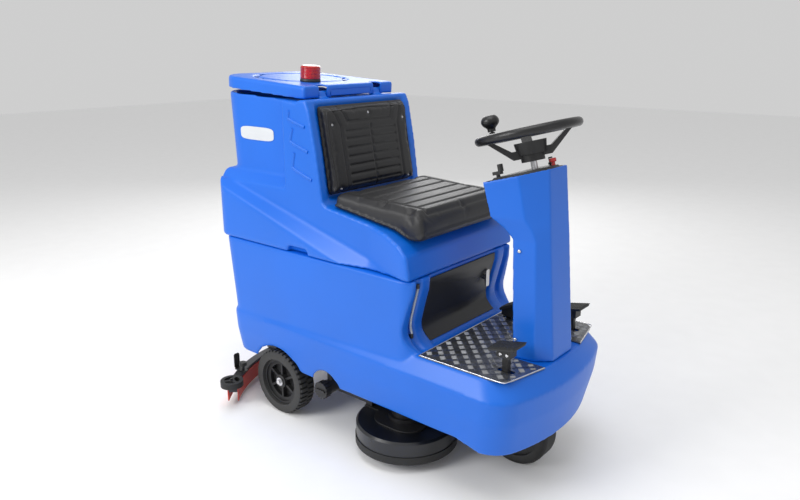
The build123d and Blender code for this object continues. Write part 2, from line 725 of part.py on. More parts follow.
# ---------------------------------------------------------------- batteries and controls
battery_length = 270.0
battery_width = 190.0
battery_height = 275.0
battery_places = [(x, y) for x in (-25, 265) for y in (-110, 110)]
with BuildPart() as batteries:
    for battery_x, battery_y in battery_places:
        with BuildSketch(level(272.5, battery_x, battery_y)):
            RectangleRounded(battery_length, battery_width, 8)
        extrude(amount=battery_height)
        for terminal_x in (-100, 100):
            with BuildSketch(level(272.5, battery_x + terminal_x, battery_y)):
                Circle(9)
            extrude(amount=battery_height + 16)
batteries.part.label = "batteries"
export_step(batteries.part, "parts/batteries.step")

with BuildPart() as motor_controller:
    with BuildSketch(level(300, 506)):
        Rectangle(54, 200, align=(Align.MIN, Align.CENTER))
    extrude(amount=180)
    for fin_y in range(-90, 91, 20):
        with BuildSketch(level(310, 500, fin_y)):
            Rectangle(8, 6, align=(Align.MIN, Align.CENTER))
        extrude(amount=160)
motor_controller.part.label = "motor_controller"
export_step(motor_controller.part, "parts/motor_controller.step")

# ---------------------------------------------------------------- brush deck
deck_z = 112.0
cover_low_z = 38.0
arm_thick = 9.0


def arm_side(pivot_x, pivot_z, length):
    """Side view of a flat link with a round eye at each end."""
    with BuildSketch() as side:
        with Locations((pivot_x + length / 2, pivot_z)):
            SlotCenterToCenter(abs(length), 26)
    return side.sketch


with BuildPart() as deck_lower_arms:
    for arm_y in (-200, 200):
        with BuildSketch(upright(arm_y + arm_thick / 2)):
            add(arm_side(deck_arm_x, deck_arm_low_z, deck_arm_length))
        extrude(amount=arm_thick)
        for pin_x in (deck_arm_x, deck_arm_x + deck_arm_length):
            with BuildSketch(upright(arm_y + 10, pin_x, deck_arm_low_z)):
                Circle(pin_radius)
            extrude(amount=20)
    with BuildSketch(upright(200, deck_arm_x + 60, deck_arm_low_z)):
        Circle(9)
    extrude(amount=400)
deck_lower_arms.part.label = "deck_lower_arms"
export_step(deck_lower_arms.part, "parts/deck_lower_arms.step")

with BuildPart() as deck_upper_arm:
    with BuildSketch(upright(arm_thick / 2)):
        add(arm_side(deck_arm_x, deck_arm_high_z, deck_arm_length))
    extrude(amount=arm_thick)
    with BuildSketch(upright(10, deck_arm_x, deck_arm_high_z)):
        Circle(pin_radius)
    extrude(amount=20)
    with BuildSketch(upright(10, deck_arm_x + deck_arm_length, deck_arm_high_z)):
        Circle(pin_radius + 0.6)
    extrude(amount=20, mode=Mode.SUBTRACT)
deck_upper_arm.part.label = "deck_upper_arm"
export_step(deck_upper_arm.part, "parts/deck_upper_arm.step")

deck_eye_x = deck_arm_x + deck_arm_length
with BuildPart() as deck_plate:
    with BuildSketch(level(deck_z, brush_x)):
        RectangleRounded(200, 560, 70)
        with Locations((-90, 0)):
            Rectangle(150, 430)
    extrude(amount=6)
    for ear_y in (-207, -193, 193, 207):
        with BuildSketch(upright(ear_y + 2, deck_eye_x, deck_z)):
            Rectangle(30, 36, align=(Align.CENTER, Align.MIN))
        extrude(amount=4)
    for ear_y in (-7, 7):
        with BuildSketch(upright(ear_y + 2, deck_eye_x, deck_z)):
            Rectangle(30, 92, align=(Align.CENTER, Align.MIN))
        extrude(amount=4)
    with BuildSketch(upright(230, deck_eye_x, deck_arm_low_z)):
        Circle(pin_radius + running_gap)
    extrude(amount=460, mode=Mode.SUBTRACT)
    with BuildSketch(upright(9, deck_eye_x, deck_arm_high_z)):
        Circle(pin_radius)
    extrude(amount=18)
    for side in (-1, 1):
        with BuildSketch(level(deck_z - 2, brush_x, side * brush_y)):
            Circle(8 + running_gap)
        extrude(amount=12, mode=Mode.SUBTRACT)
deck_plate.part.label = "deck_plate"
export_step(deck_plate.part, "parts/deck_plate.step")

# covers, skirts and gear motors of the two brushes
with BuildPart() as brush_covers:
    for side_y in (-brush_y, brush_y):
        with BuildSketch(level(cover_low_z, brush_x, side_y)):
            Circle(cover_radius)
        extrude(amount=deck_z - cover_low_z)
    chamfer(brush_covers.edges().group_by(Axis.Z)[-1], 7)
    for side_y in (-brush_y, brush_y):
        with BuildSketch(level(cover_low_z, brush_x, side_y)):
            Circle(cover_radius - 5)
        extrude(amount=deck_z - cover_low_z - 5, mode=Mode.SUBTRACT)
        with BuildSketch(level(deck_z - 10, brush_x, side_y)):
            Circle(8 + running_gap)
        extrude(amount=20, mode=Mode.SUBTRACT)
brush_covers.part.label = "brush_covers"
export_step(brush_covers.part, "parts/brush_covers.step")

with BuildPart() as skirts:
    for side_y in (-brush_y, brush_y):
        with BuildSketch(level(cover_low_z - 4, brush_x, side_y)):
            Circle(cover_radius + 3)
            Circle(cover_radius, mode=Mode.SUBTRACT)
        extrude(amount=26)
skirts.part.label = "skirts"
export_step(skirts.part, "parts/skirts.step")

with BuildPart() as brush_motors:
    for side_y in (-brush_y, brush_y):
        with BuildSketch(level(deck_z + 6, brush_x, side_y)):
            Circle(64)
        extrude(amount=14)
        with BuildSketch(level(deck_z + 20, brush_x, side_y)):
            Circle(52)
        extrude(amount=58)
    fillet(brush_motors.edges().group_by(Axis.Z)[-1], 6)
    for side_y in (-brush_y, brush_y):
        with BuildSketch(level(deck_z, brush_x, side_y)):
            Circle(8 + running_gap)
        extrude(amount=30, mode=Mode.SUBTRACT)
brush_motors.part.label = "brush_motors"
export_step(brush_motors.part, "parts/brush_motors.step")

# disc brushes: block, driving stub and the ring of bristles
for side_name, side_y in (("right", -brush_y), ("left", brush_y)):
    with BuildPart() as brush:
        with BuildSketch(level(31, brush_x, side_y)):
            Circle(163)
            Circle(75, mode=Mode.SUBTRACT)
        with BuildSketch(level(76, brush_x, side_y)):
            Circle(156)
            Circle(80, mode=Mode.SUBTRACT)
        loft()
        with BuildSketch(level(75, brush_x, side_y)):
            Circle(160)
        extrude(amount=15)
        with BuildSketch(level(90, brush_x, side_y)):
            Circle(24)
        extrude(amount=10)
        with BuildSketch(level(90, brush_x, side_y)):
            Circle(8)
        extrude(amount=48)
    brush.part.label = "brush_" + side_name
    export_step(brush.part, "parts/brush_" + side_name + ".step")

with BuildPart() as lift_actuator:
    with BuildSketch(level(170, actuator_x)):
        Circle(17)
    extrude(amount=rail_top - 12 - 170)
    with BuildSketch(level(170, actuator_x)):
        Circle(8 + running_gap)
    extrude(amount=70, mode=Mode.SUBTRACT)
lift_actuator.part.label = "lift_actuator"
export_step(lift_actuator.part, "parts/lift_actuator.step")

with BuildPart() as actuator_rod:
    with BuildSketch(level(deck_z + 7, actuator_x)):
        Circle(12)
    extrude(amount=12)
    with BuildSketch(level(deck_z + 7, actuator_x)):
        Circle(8)
    extrude(amount=88)
actuator_rod.part.label = "actuator_rod"
export_step(actuator_rod.part, "parts/actuator_rod.step")

# ---------------------------------------------------------------- filter
filter_x = 222.0
filter_z = 160.0
with BuildPart() as filter_body:
    with BuildSketch(upright(-214, filter_x, filter_z)):
        Circle(26)
    extrude(amount=58)
    with BuildSketch(level(filter_z, filter_x, -246)):
        Circle(12)
    extrude(amount=battery_floor_z - filter_z - 0.4)
    with BuildSketch(upright(-240, filter_x, filter_z)):
        Circle(20)
    extrude(amount=40, mode=Mode.SUBTRACT)
filter_body.part.label = "filter_body"
export_step(filter_body.part, "parts/filter_body.step")

with BuildPart() as filter_cap:
    with BuildSketch(upright(-272.3, filter_x, filter_z)):
        Circle(30)
        with PolarLocations(30, 16):
            Rectangle(4, 5)
    extrude(amount=26)
    with BuildSketch(upright(-298.3, filter_x, filter_z)):
        RectangleRounded(44, 9, 3)
    extrude(amount=5)
filter_cap.part.label = "filter_cap"
export_step(filter_cap.part, "parts/filter_cap.step")

# ---------------------------------------------------------------- squeegee
squeegee_arc_x = squeegee_middle_x + squeegee_arc_radius
carrier_x = squeegee_arm_x - squeegee_arm_length
swing_x = -330.0
with BuildPart() as squeegee_lower_arms:
    for arm_y in (-31, 31):
        with BuildSketch(upright(arm_y + arm_thick / 2)):
            add(arm_side(carrier_x, squeegee_arm_low_z, squeegee_arm_length))
        extrude(amount=arm_thick)
        for pin_x in (carrier_x, squeegee_arm_x):
            with BuildSketch(upright(arm_y + 10, pin_x, squeegee_arm_low_z)):
                Circle(pin_radius)
            extrude(amount=20)
    with BuildSketch(upright(31, squeegee_arm_x - 45, squeegee_arm_low_z)):
        Circle(6)
    extrude(amount=62)
squeegee_lower_arms.part.label = "squeegee_lower_arms"
export_step(squeegee_lower_arms.part, "parts/squeegee_lower_arms.step")

with BuildPart() as squeegee_upper_arm:
    with BuildSketch(upright(arm_thick / 2)):
        add(arm_side(carrier_x, squeegee_arm_high_z, squeegee_arm_length))
    extrude(amount=arm_thick)
    with BuildSketch(upright(10, squeegee_arm_x, squeegee_arm_high_z)):
        Circle(pin_radius)
    extrude(amount=20)
    with BuildSketch(upright(10, carrier_x, squeegee_arm_high_z)):
        Circle(pin_radius + 0.6)
    extrude(amount=20, mode=Mode.SUBTRACT)
squeegee_upper_arm.part.label = "squeegee_upper_arm"
export_step(squeegee_upper_arm.part, "parts/squeegee_upper_arm.step")

with BuildPart() as squeegee_carrier:
    with BuildSketch(level(106, carrier_x - 80)):
        Rectangle(60, 84, align=(Align.MIN, Align.CENTER))
    extrude(amount=30)
    for ear_y in (-38, -24, 24, 38):
        with BuildSketch(upright(ear_y + 2, carrier_x, 106)):
            Rectangle(60, 28, align=(Align.CENTER, Align.MIN))
        extrude(amount=4)
    for ear_y in (-7, 7):
        with BuildSketch(upright(ear_y + 2, carrier_x - 8)):
            Polygon((-24, 106), (22, 142), (22, 174), (-24, 174), align=None)
        extrude(amount=4)
    with BuildSketch(upright(50, carrier_x, squeegee_arm_low_z)):
        Circle(pin_radius + running_gap)
    extrude(amount=100, mode=Mode.SUBTRACT)
    with BuildSketch(upright(9, carrier_x, squeegee_arm_high_z)):
        Circle(pin_radius)
    extrude(amount=18)
    with BuildSketch(level(100, swing_x)):
        Circle(8 + running_gap)
    extrude(amount=100, mode=Mode.SUBTRACT)
squeegee_carrier.part.label = "squeegee_carrier"
export_step(squeegee_carrier.part, "parts/squeegee_carrier.step")


def bow(inner_radius, outer_radius, half_angle):
    """Plan of a curved strip centred ahead of the squeegee."""
    reach = 2 * outer_radius
    with BuildSketch() as strip:
        with Locations((squeegee_arc_x, 0)):
            Circle(outer_radius)
            Circle(inner_radius, mode=Mode.SUBTRACT)
            Polygon((0, 0), (-reach * cos(radians(half_angle)), reach * sin(radians(half_angle))),
                    (-reach * cos(radians(half_angle)), -reach * sin(radians(half_angle))),
                    align=None, mode=Mode.INTERSECT)
    return strip.sketch


def bow_place(radius, angle):
    """Point on the squeegee's curve, as x from the rear axle and y."""
    return (squeegee_arc_x - radius * cos(radians(angle)), radius * sin(radians(angle)))


roller_angle = 44.2
roller_x, roller_y = bow_place(566, roller_angle)
port_x, port_y = bow_place(566, 12)
with BuildPart() as squeegee_body:
    with BuildSketch(level(56)):
        add(bow(550, 583, 43))
    extrude(amount=34)
    with BuildSketch(level(50)):
        add(bow(554, 579, 42.6))
    extrude(amount=30, mode=Mode.SUBTRACT)
    with BuildSketch(level(90, -352)):
        Rectangle(52, 130, align=(Align.MIN, Align.CENTER))
    extrude(amount=8)
    with BuildSketch(level(94, swing_x)):
        Circle(8)
    extrude(amount=58)
    for side in (-1, 1):
        with BuildSketch(level(84, roller_x, side * roller_y)):
            Circle(17)
        extrude(amount=8)
        with BuildSketch(level(84, roller_x, side * roller_y)):
            Circle(5)
        extrude(amount=38)
    # flared suction port
    with BuildSketch(level(86, port_x, port_y)):
        Circle(15)
    with BuildSketch(level(134, port_x, port_y)):
        Circle(24)
    loft()
    with BuildSketch(level(74, port_x, port_y)):
        Circle(11)
    with BuildSketch(level(134.01, port_x, port_y)):
        Circle(20)
    loft(mode=Mode.SUBTRACT)
squeegee_body.part.label = "squeegee_body"
export_step(squeegee_body.part, "parts/squeegee_body.step")

with BuildPart() as squeegee_blades:
    for inner_radius, outer_radius in ((583.3, 588), (546, 549.7)):
        with BuildSketch(level(20)):
            add(bow(inner_radius, outer_radius, 43))
        extrude(amount=58)
squeegee_blades.part.label = "squeegee_blades"
export_step(squeegee_blades.part, "parts/squeegee_blades.step")

with BuildPart() as squeegee_clamps:
    for side in (-1, 1):
        clamp_x, clamp_y = bow_place(566, 30 * side)
        with BuildSketch(level(90.2, clamp_x, clamp_y)):
            RectangleRounded(58, 26, 6)
        extrude(amount=4)
        with BuildSketch(level(94, clamp_x + 12, clamp_y)):
            Circle(6)
        extrude(amount=26)
        with BuildSketch(level(114, clamp_x + 12, clamp_y)):
            RegularPolygon(15, 8)
        extrude(amount=14)
        with BuildSketch(across(clamp_x - 28, clamp_y, 94)):
            RectangleRounded(26, 62, 8, align=(Align.CENTER, Align.MIN))
        extrude(amount=4)
squeegee_clamps.part.label = "squeegee_clamps"
export_step(squeegee_clamps.part, "parts/squeegee_clamps.step")

for side_name, side in (("right", -1), ("left", 1)):
    with BuildPart() as bumper_roller:
        with BuildSketch(level(93, roller_x, side * roller_y)):
            Circle(43.5)
            Circle(30, mode=Mode.SUBTRACT)
            with PolarLocations(20, 3):
                Rectangle(30, 10)
            Circle(11)
            Circle(5 + running_gap, mode=Mode.SUBTRACT)
        extrude(amount=22)
    bumper_roller.part.label = "bumper_roller_" + side_name
    export_step(bumper_roller.part, "parts/bumper_roller_" + side_name + ".step")

# ---------------------------------------------------------------- upper body
lid_front_x = 119.0
lid_length = 481.0
lid_thickness = 44.0
lid_base_z = 1180.0
lid_hinge_x = 107.0
lid_hinge_z = 1196.0
hinge_y = 140.0
duct_z = 760.0
tip_hinge_places = (-170, 130)
tip_hinge_y = 310.0
tip_hinge_z = 658.0
hinge_strap_reach = 12.0
with BuildPart() as recovery_tank:
    with BuildSketch(upright(upper_half)):
        add(upper_side(0, seam_z + seam_gap))
    extrude(amount=2 * upper_half)
    with BuildSketch(level(640, -331)):
        RectangleRounded(1300, 2 * upper_half, 78, align=(Align.MIN, Align.CENTER))
    extrude(amount=600, mode=Mode.INTERSECT)
    # the side wall steps in above a slanting band that widens forward
    for side in (-1, 1):
        with BuildSketch(across(-345)):
            Polygon((side * 266, 1300), (side * 266, 893), (side * 303.5, 872), (side * 340, 872),
                    (side * 340, 1300), align=None)
        with BuildSketch(across(440)):
            Polygon((side * 266, 1300), (side * 266, 690), (side * 303.5, 622), (side * 340, 622),
                    (side * 340, 1300), align=None)
        loft(ruled=True, mode=Mode.SUBTRACT)
        with BuildSketch(across(440)):
            Polygon((side * 266, 1300), (side * 266, 690), (side * 303.5, 622), (side * 340, 622),
                    (side * 340, 1300), align=None)
        with BuildSketch(across(600)):
            Polygon((side * 302.4, 1300), (side * 302.4, 650), (side * 303.5, 590), (side * 340, 590),
                    (side * 340, 1300), align=None)
        loft(ruled=True, mode=Mode.SUBTRACT)
        with BuildSketch(across(-345)):
            Polygon((side * 228, 912), (side * 270, 866), (side * 270, 912), align=None)
        extrude(amount=385, mode=Mode.SUBTRACT)
    # tank barrel with a rounded rear
    with BuildSketch(level(870, -334)):
        RectangleRounded(560, 2 * tank_half, 112, align=(Align.MIN, Align.CENTER))
    with BuildSketch(level(1215, -358)):
        RectangleRounded(584, 2 * tank_half, 118, align=(Align.MIN, Align.CENTER))
    loft(ruled=True)
    with BuildSketch(upright(400)):
        Polygon((121, 1400), (121, 1174), (60, 1176), (-400, 1197), (-400, 1400), align=None)
    extrude(amount=800, mode=Mode.SUBTRACT)
    with BuildSketch(upright(400)):
        add(upper_side(-0.01, 600))
        with Locations((-200, 1000)):
            Rectangle(500, 1000, align=(Align.CENTER, Align.CENTER))
    extrude(amount=800, mode=Mode.INTERSECT)
    # dirty water space and the mouth under the lid
    with BuildSketch(level(692, -292)):
        RectangleRounded(318, 500, 40, align=(Align.MIN, Align.CENTER))
    extrude(amount=172, mode=Mode.SUBTRACT)
    with BuildSketch(level(862, -324)):
        RectangleRounded(350, 2 * tank_half - 20, 96, align=(Align.MIN, Align.CENTER))
    extrude(amount=400, mode=Mode.SUBTRACT)
    # hollow under the seat and backrest, open to the battery bay
    with BuildSketch(upright(254)):
        Polygon((62, 600), (62, 1140), (132, 1140), (158, 1010), (184, 838), (236, 812), (410, 786),
                (520, 767), (582, 744), (606, 720), (624, 600), align=None)
    extrude(amount=508, mode=Mode.SUBTRACT)
    # seat back recess
    with BuildSketch(upright(230)):
        Polygon((157, 1168), (183, 1015), (207, 850), (330, 850), (330, 1168), align=None)
    extrude(amount=460, mode=Mode.SUBTRACT)
    # hand grip over the seam
    with BuildSketch(level(600, 130, -upper_half)):
        RectangleRounded(96, 44, 8)
    extrude(amount=79, mode=Mode.SUBTRACT)
    # lid hinge knuckles, inlet and suction passages
    for side in (-1, 1):
        with BuildSketch(upright(side * hinge_y + 18)):
            Polygon((lid_hinge_x - 10, 1165), (lid_hinge_x + 14, 1165), (lid_hinge_x + 11, 1196),
                    (lid_hinge_x + 8, 1206), (lid_hinge_x - 8, 1206), (lid_hinge_x - 10, 1196),
                    align=None)
        extrude(amount=36)
    with BuildSketch(upright(200, lid_hinge_x, lid_hinge_z)):
        Circle(4)
    extrude(amount=400, mode=Mode.SUBTRACT)
    with BuildSketch(across(10, 0, duct_z)):
        Circle(20.5)
    extrude(amount=80, mode=Mode.SUBTRACT)
    with BuildSketch(across(-345, 120, 750)):
        Circle(27)
    extrude(amount=50)
    with BuildSketch(across(-350, 120, 750)):
        Circle(22.5)
    extrude(amount=70, mode=Mode.SUBTRACT)
    # tank halves of the two tipping hinges
    for hinge_x in tip_hinge_places:
        with BuildSketch(across(hinge_x - 7.7, tip_hinge_y, tip_hinge_z)):
            Circle(6)
            with Locations((-3.3, 18)):
                Rectangle(3, 36)
        extrude(amount=15.4)
        with BuildSketch(upright(tip_hinge_y - 1.8, hinge_x, 684)):
            Rectangle(40, 32)
        extrude(amount=hinge_strap_reach)
        with BuildSketch(across(hinge_x - 22, tip_hinge_y, tip_hinge_z)):
            Circle(4 + running_gap)
        extrude(amount=44, mode=Mode.SUBTRACT)
recovery_tank.part.label = "recovery_tank"
export_step(recovery_tank.part, "parts/recovery_tank.step")

lid_plane = tilted(lid_front_x, 0, lid_base_z, -lid_slope)


def lid_outline(inset):
    """Plan of the lid: square front, round rear."""
    with BuildSketch() as outline:
        Rectangle(lid_length - 2 * inset, 2 * tank_half + 2 - 2 * inset,
                  align=(Align.MAX, Align.CENTER))
        fillet(outline.vertices().group_by(Axis.X)[0], radius=118 - inset)
        fillet(outline.vertices().group_by(Axis.X)[-1], radius=10)
    return outline.sketch


with BuildPart() as tank_lid:
    with BuildSketch(lid_plane):
        add(lid_outline(0))
    extrude(amount=lid_thickness)
    fillet(tank_lid.faces().sort_by(Axis.Z)[-1].edges(), 9)
    with BuildSketch(lid_plane):
        with Locations((-6, 0)):
            add(lid_outline(6))
    extrude(amount=lid_thickness - 7, mode=Mode.SUBTRACT)
    # oval channel pressed into the top
    with BuildSketch(lid_plane.offset(lid_thickness - 4)):
        with Locations((-262, 0)):
            RectangleRounded(350, 350, 165)
            RectangleRounded(300, 300, 140, mode=Mode.SUBTRACT)
    extrude(amount=8, mode=Mode.SUBTRACT)
    # hinge bosses and the notches for the tank's knuckles
    with BuildSketch(upright(hinge_y + 38, lid_hinge_x, lid_hinge_z)):
        Rectangle(18, 18)
    extrude(amount=2 * (hinge_y + 38))
    with BuildSketch(upright(hinge_y - 38, lid_hinge_x, lid_hinge_z)):
        Rectangle(30, 22)
    extrude(amount=2 * (hinge_y - 38), mode=Mode.SUBTRACT)
    for side in (-1, 1):
        with BuildSketch(upright(side * hinge_y + 19, lid_hinge_x - 14, lid_base_z - 10)):
            Rectangle(60, 90, align=(Align.MIN, Align.MIN))
        extrude(amount=38, mode=Mode.SUBTRACT)
    with BuildSketch(upright(200, lid_hinge_x, lid_hinge_z)):
        Circle(4 + running_gap)
    extrude(amount=400, mode=Mode.SUBTRACT)
tank_lid.part.label = "tank_lid"
export_step(tank_lid.part, "parts/tank_lid.step")

with BuildPart() as lid_hinge_pins:
    for side in (-1, 1):
        with BuildSketch(upright(side * hinge_y + 34, lid_hinge_x, lid_hinge_z)):
            Circle(4)
        extrude(amount=68)
lid_hinge_pins.part.label = "lid_hinge_pins"
export_step(lid_hinge_pins.part, "parts/lid_hinge_pins.step")

beacon_radius = 37.0
beacon_plane = Plane(
    origin=lid_plane.from_local_coords((-118, -90, lid_thickness)),
    x_dir=lid_plane.x_dir,
    z_dir=lid_plane.z_dir,
)
with BuildPart() as beacon:
    with BuildSketch(beacon_plane):
        Circle(beacon_radius)
    extrude(amount=57)
    fillet(beacon.edges().group_by(Axis.Z)[-1], 7)
    with BuildSketch(beacon_plane.offset(12)):
        Circle(beacon_radius - 3)
        Circle(12, mode=Mode.SUBTRACT)
    extrude(amount=24, mode=Mode.SUBTRACT)
    with BuildSketch(beacon_plane.offset(36)):
        Circle(beacon_radius - 3)
    extrude(amount=17, mode=Mode.SUBTRACT)
beacon.part.label = "beacon"
export_step(beacon.part, "parts/beacon.step")

# ---------------------------------------------------------------- seat
seat_half = 258.0
with BuildPart() as seat_cushion:
    with BuildSketch(upright(seat_half)):
        Polygon((246, 834), (410, 809), (522, 790), (588, 766), (634, 770), (650, 796), (647, 838),
                (622, 860), (430, 868), (256, 878), align=None)
    extrude(amount=2 * seat_half)
    fillet(seat_cushion.edges().filter_by(Axis.Y, reverse=True).group_by(Axis.Y)[0], 16)
    fillet(seat_cushion.edges().filter_by(Axis.Y, reverse=True).group_by(Axis.Y)[-1], 16)
seat_cushion.part.label = "seat_cushion"
export_step(seat_cushion.part, "parts/seat_cushion.step")

with BuildPart() as backrest_cushion:
    with BuildSketch(upright(226)):
        Polygon((158, 1163), (184, 1015), (208, 856), (242, 862), (236, 900), (214, 1020),
                (192, 1150), (182, 1166), align=None)
    extrude(amount=452)
backrest_cushion.part.label = "backrest_cushion"
export_step(backrest_cushion.part, "parts/backrest_cushion.step")

# ---------------------------------------------------------------- inside the upper body
# suction motor, its duct through the tank wall, the standpipe and the slotted float cage
with BuildPart() as vacuum_motor:
    with BuildSketch(level(690, 305)):
        Circle(66)
    extrude(amount=96)
    fillet(vacuum_motor.edges().group_by(Axis.Z)[0], 10)
    with BuildSketch(level(680, 305)):
        Circle(40)
    extrude(amount=12)
    with BuildSketch(across(-10, 0, duct_z)):
        Circle(20)
    extrude(amount=260)
    with BuildSketch(level(duct_z - 20, -10)):
        Circle(20)
    extrude(amount=342)
    with BuildSketch(level(duct_z + 320, -10)):
        Circle(34)
    extrude(amount=66)
    with BuildSketch(level(duct_z + 324, -10)):
        Circle(29)
    extrude(amount=58, mode=Mode.SUBTRACT)
    for slot_turn in range(0, 180, 36):
        slot_plane = Plane(origin=(rear_axle_x - 10, 0, duct_z + 352),
                           x_dir=(-sin(radians(slot_turn)), cos(radians(slot_turn)), 0),
                           z_dir=(cos(radians(slot_turn)), sin(radians(slot_turn)), 0))
        with BuildSketch(slot_plane):
            RectangleRounded(12, 44, 5)
        extrude(amount=40, both=True, mode=Mode.SUBTRACT)
vacuum_motor.part.label = "vacuum_motor"
export_step(vacuum_motor.part, "parts/vacuum_motor.step")

# root halves of the two hinges on which the upper body tips to the left
with BuildPart() as tank_hinges:
    for hinge_x in tip_hinge_places:
        with BuildSketch(upright(tip_hinge_y - 3, hinge_x, 628)):
            Rectangle(40, 44)
        extrude(amount=3)
        for knuckle_x in (hinge_x - 20, hinge_x + 8):
            with BuildSketch(across(knuckle_x, tip_hinge_y, tip_hinge_z)):
                Circle(6)
                with Locations((-3, -8)):
                    Rectangle(6, 12)
            extrude(amount=12)
        with BuildSketch(across(hinge_x - 20, tip_hinge_y, tip_hinge_z)):
            Circle(4)
        extrude(amount=40)
tank_hinges.part.label = "tank_hinges"
export_step(tank_hinges.part, "parts/tank_hinges.step")
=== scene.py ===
import math
import random

import bmesh
import bpy
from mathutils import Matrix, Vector


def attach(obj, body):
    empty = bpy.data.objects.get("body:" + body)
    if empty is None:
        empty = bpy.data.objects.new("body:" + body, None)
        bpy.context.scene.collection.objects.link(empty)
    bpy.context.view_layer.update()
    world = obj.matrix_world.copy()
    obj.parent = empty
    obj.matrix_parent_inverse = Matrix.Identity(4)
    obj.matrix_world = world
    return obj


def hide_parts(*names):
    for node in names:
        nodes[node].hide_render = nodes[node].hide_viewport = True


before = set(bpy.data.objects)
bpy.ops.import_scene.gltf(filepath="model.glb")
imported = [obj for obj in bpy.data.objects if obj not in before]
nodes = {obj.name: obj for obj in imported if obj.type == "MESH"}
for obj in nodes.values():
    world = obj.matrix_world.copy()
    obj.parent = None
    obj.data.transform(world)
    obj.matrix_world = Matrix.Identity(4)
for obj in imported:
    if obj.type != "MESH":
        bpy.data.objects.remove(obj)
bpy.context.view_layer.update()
axle_x = -0.3474


def at(x, y, z):
    """A point given in millimetres, with x counted forward from the rear axle."""
    return Vector((axle_x + x / 1000, y / 1000, z / 1000))


# ---------------------------------------------------------------- materials
def material(name, base, rough=0.5, metal=0.0, grain=400.0, bump=0.1, vary=0.12, patch=9.0,
             wear=0.0, coat=0.0, sheen=0.0, cells=False, transmission=0.0):
    """Procedural finish: broad colour drift, uneven roughness, fine grain and edge wear."""
    mat = bpy.data.materials.new(name)
    mat.use_nodes = True
    tree = mat.node_tree
    shader = tree.nodes["Principled BSDF"]
    shader.inputs["Metallic"].default_value = metal
    shader.inputs["Coat Weight"].default_value = coat
    shader.inputs["Coat Roughness"].default_value = 0.2
    shader.inputs["Sheen Weight"].default_value = sheen
    shader.inputs["Transmission Weight"].default_value = transmission
    where = tree.nodes.new("ShaderNodeTexCoord")
    drift = tree.nodes.new("ShaderNodeTexNoise")
    drift.inputs["Scale"].default_value = patch
    drift.inputs["Detail"].default_value = 5.0
    tree.links.new(where.outputs["Object"], drift.inputs["Vector"])
    ramp = tree.nodes.new("ShaderNodeValToRGB")
    ramp.color_ramp.elements[0].position = 0.3
    ramp.color_ramp.elements[1].position = 0.7
    ramp.color_ramp.elements[0].color = [max(0.0, c * (1 - vary)) for c in base] + [1]
    ramp.color_ramp.elements[1].color = [min(1.0, c * (1 + vary)) for c in base] + [1]
    tree.links.new(drift.outputs["Fac"], ramp.inputs["Fac"])
    colour = ramp.outputs["Color"]
    if wear > 0:
        geometry = tree.nodes.new("ShaderNodeNewGeometry")
        edge = tree.nodes.new("ShaderNodeMapRange")
        edge.inputs["From Min"].default_value = 0.52
        edge.inputs["From Max"].default_value = 0.62
        edge.inputs["To Max"].default_value = wear
        tree.links.new(geometry.outputs["Pointiness"], edge.inputs["Value"])
        mix = tree.nodes.new("ShaderNodeMix")
        mix.data_type = "RGBA"
        mix.inputs["B"].default_value = [min(1.0, c * 1.6 + 0.05) for c in base] + [1]
        tree.links.new(edge.outputs["Result"], mix.inputs["Factor"])
        tree.links.new(colour, mix.inputs["A"])
        colour = mix.outputs["Result"]
    tree.links.new(colour, shader.inputs["Base Color"])
    fine = tree.nodes.new("ShaderNodeTexVoronoi" if cells else "ShaderNodeTexNoise")
    fine.inputs["Scale"].default_value = grain
    tree.links.new(where.outputs["Object"], fine.inputs["Vector"])
    fine_out = fine.outputs["Distance" if cells else "Fac"]
    spread = tree.nodes.new("ShaderNodeMapRange")
    spread.inputs["To Min"].default_value = max(0.03, rough - 0.07)
    spread.inputs["To Max"].default_value = min(1.0, rough + 0.07)
    tree.links.new(drift.outputs["Fac"], spread.inputs["Value"])
    tree.links.new(spread.outputs["Result"], shader.inputs["Roughness"])
    relief = tree.nodes.new("ShaderNodeBump")
    relief.inputs["Strength"].default_value = bump
    relief.inputs["Distance"].default_value = 0.0008
    tree.links.new(fine_out, relief.inputs["Height"])
    tree.links.new(relief.outputs["Normal"], shader.inputs["Normal"])
    return mat


blue = material("rotomoulded_blue", (0.0, 0.125, 0.62), rough=0.40, grain=260, bump=0.08, vary=0.05,
                patch=3, coat=0.03)
vinyl = material("black_vinyl", (0.010, 0.010, 0.0115), rough=0.46, grain=900, bump=0.22, vary=0.3,
                 patch=6, sheen=0.02, cells=True)
black = material("black_plastic", (0.012, 0.012, 0.013), rough=0.48, grain=1200, bump=0.15, vary=0.25,
                 wear=0.3)
panel_black = material("panel_black", (0.010, 0.010, 0.011), rough=0.38, grain=700, bump=0.12, vary=0.3)
grip = material("rim_grip", (0.008, 0.008, 0.009), rough=0.34, grain=900, bump=0.2, vary=0.3, cells=True)
rubber = material("tyre_rubber", (0.014, 0.014, 0.014), rough=0.72, grain=500, bump=0.35, vary=0.35,
                  patch=14, wear=0.5)
skirt_rubber = material("skirt_rubber", (0.012, 0.012, 0.012), rough=0.6, grain=300, bump=0.2, vary=0.3)
rim_plastic = material("rim_plastic", (0.013, 0.013, 0.014), rough=0.45, grain=800, bump=0.2, vary=0.3,
                       wear=0.4)
frame_paint = material("frame_paint", (0.014, 0.014, 0.015), rough=0.42, metal=0.2, grain=500, bump=0.25,
                       vary=0.3, wear=0.5)
zinc = material("zinc_steel", (0.55, 0.55, 0.57), rough=0.3, metal=1.0, grain=900, bump=0.08, vary=0.15,
                patch=30)
bright = material("bright_bolt", (0.72, 0.72, 0.74), rough=0.2, metal=1.0, grain=700, bump=0.05, vary=0.1,
                  patch=60)
tread = material("tread_sheet", (0.20, 0.205, 0.215), rough=0.36, metal=0.9, grain=500, bump=0.3,
                 vary=0.35, patch=25)
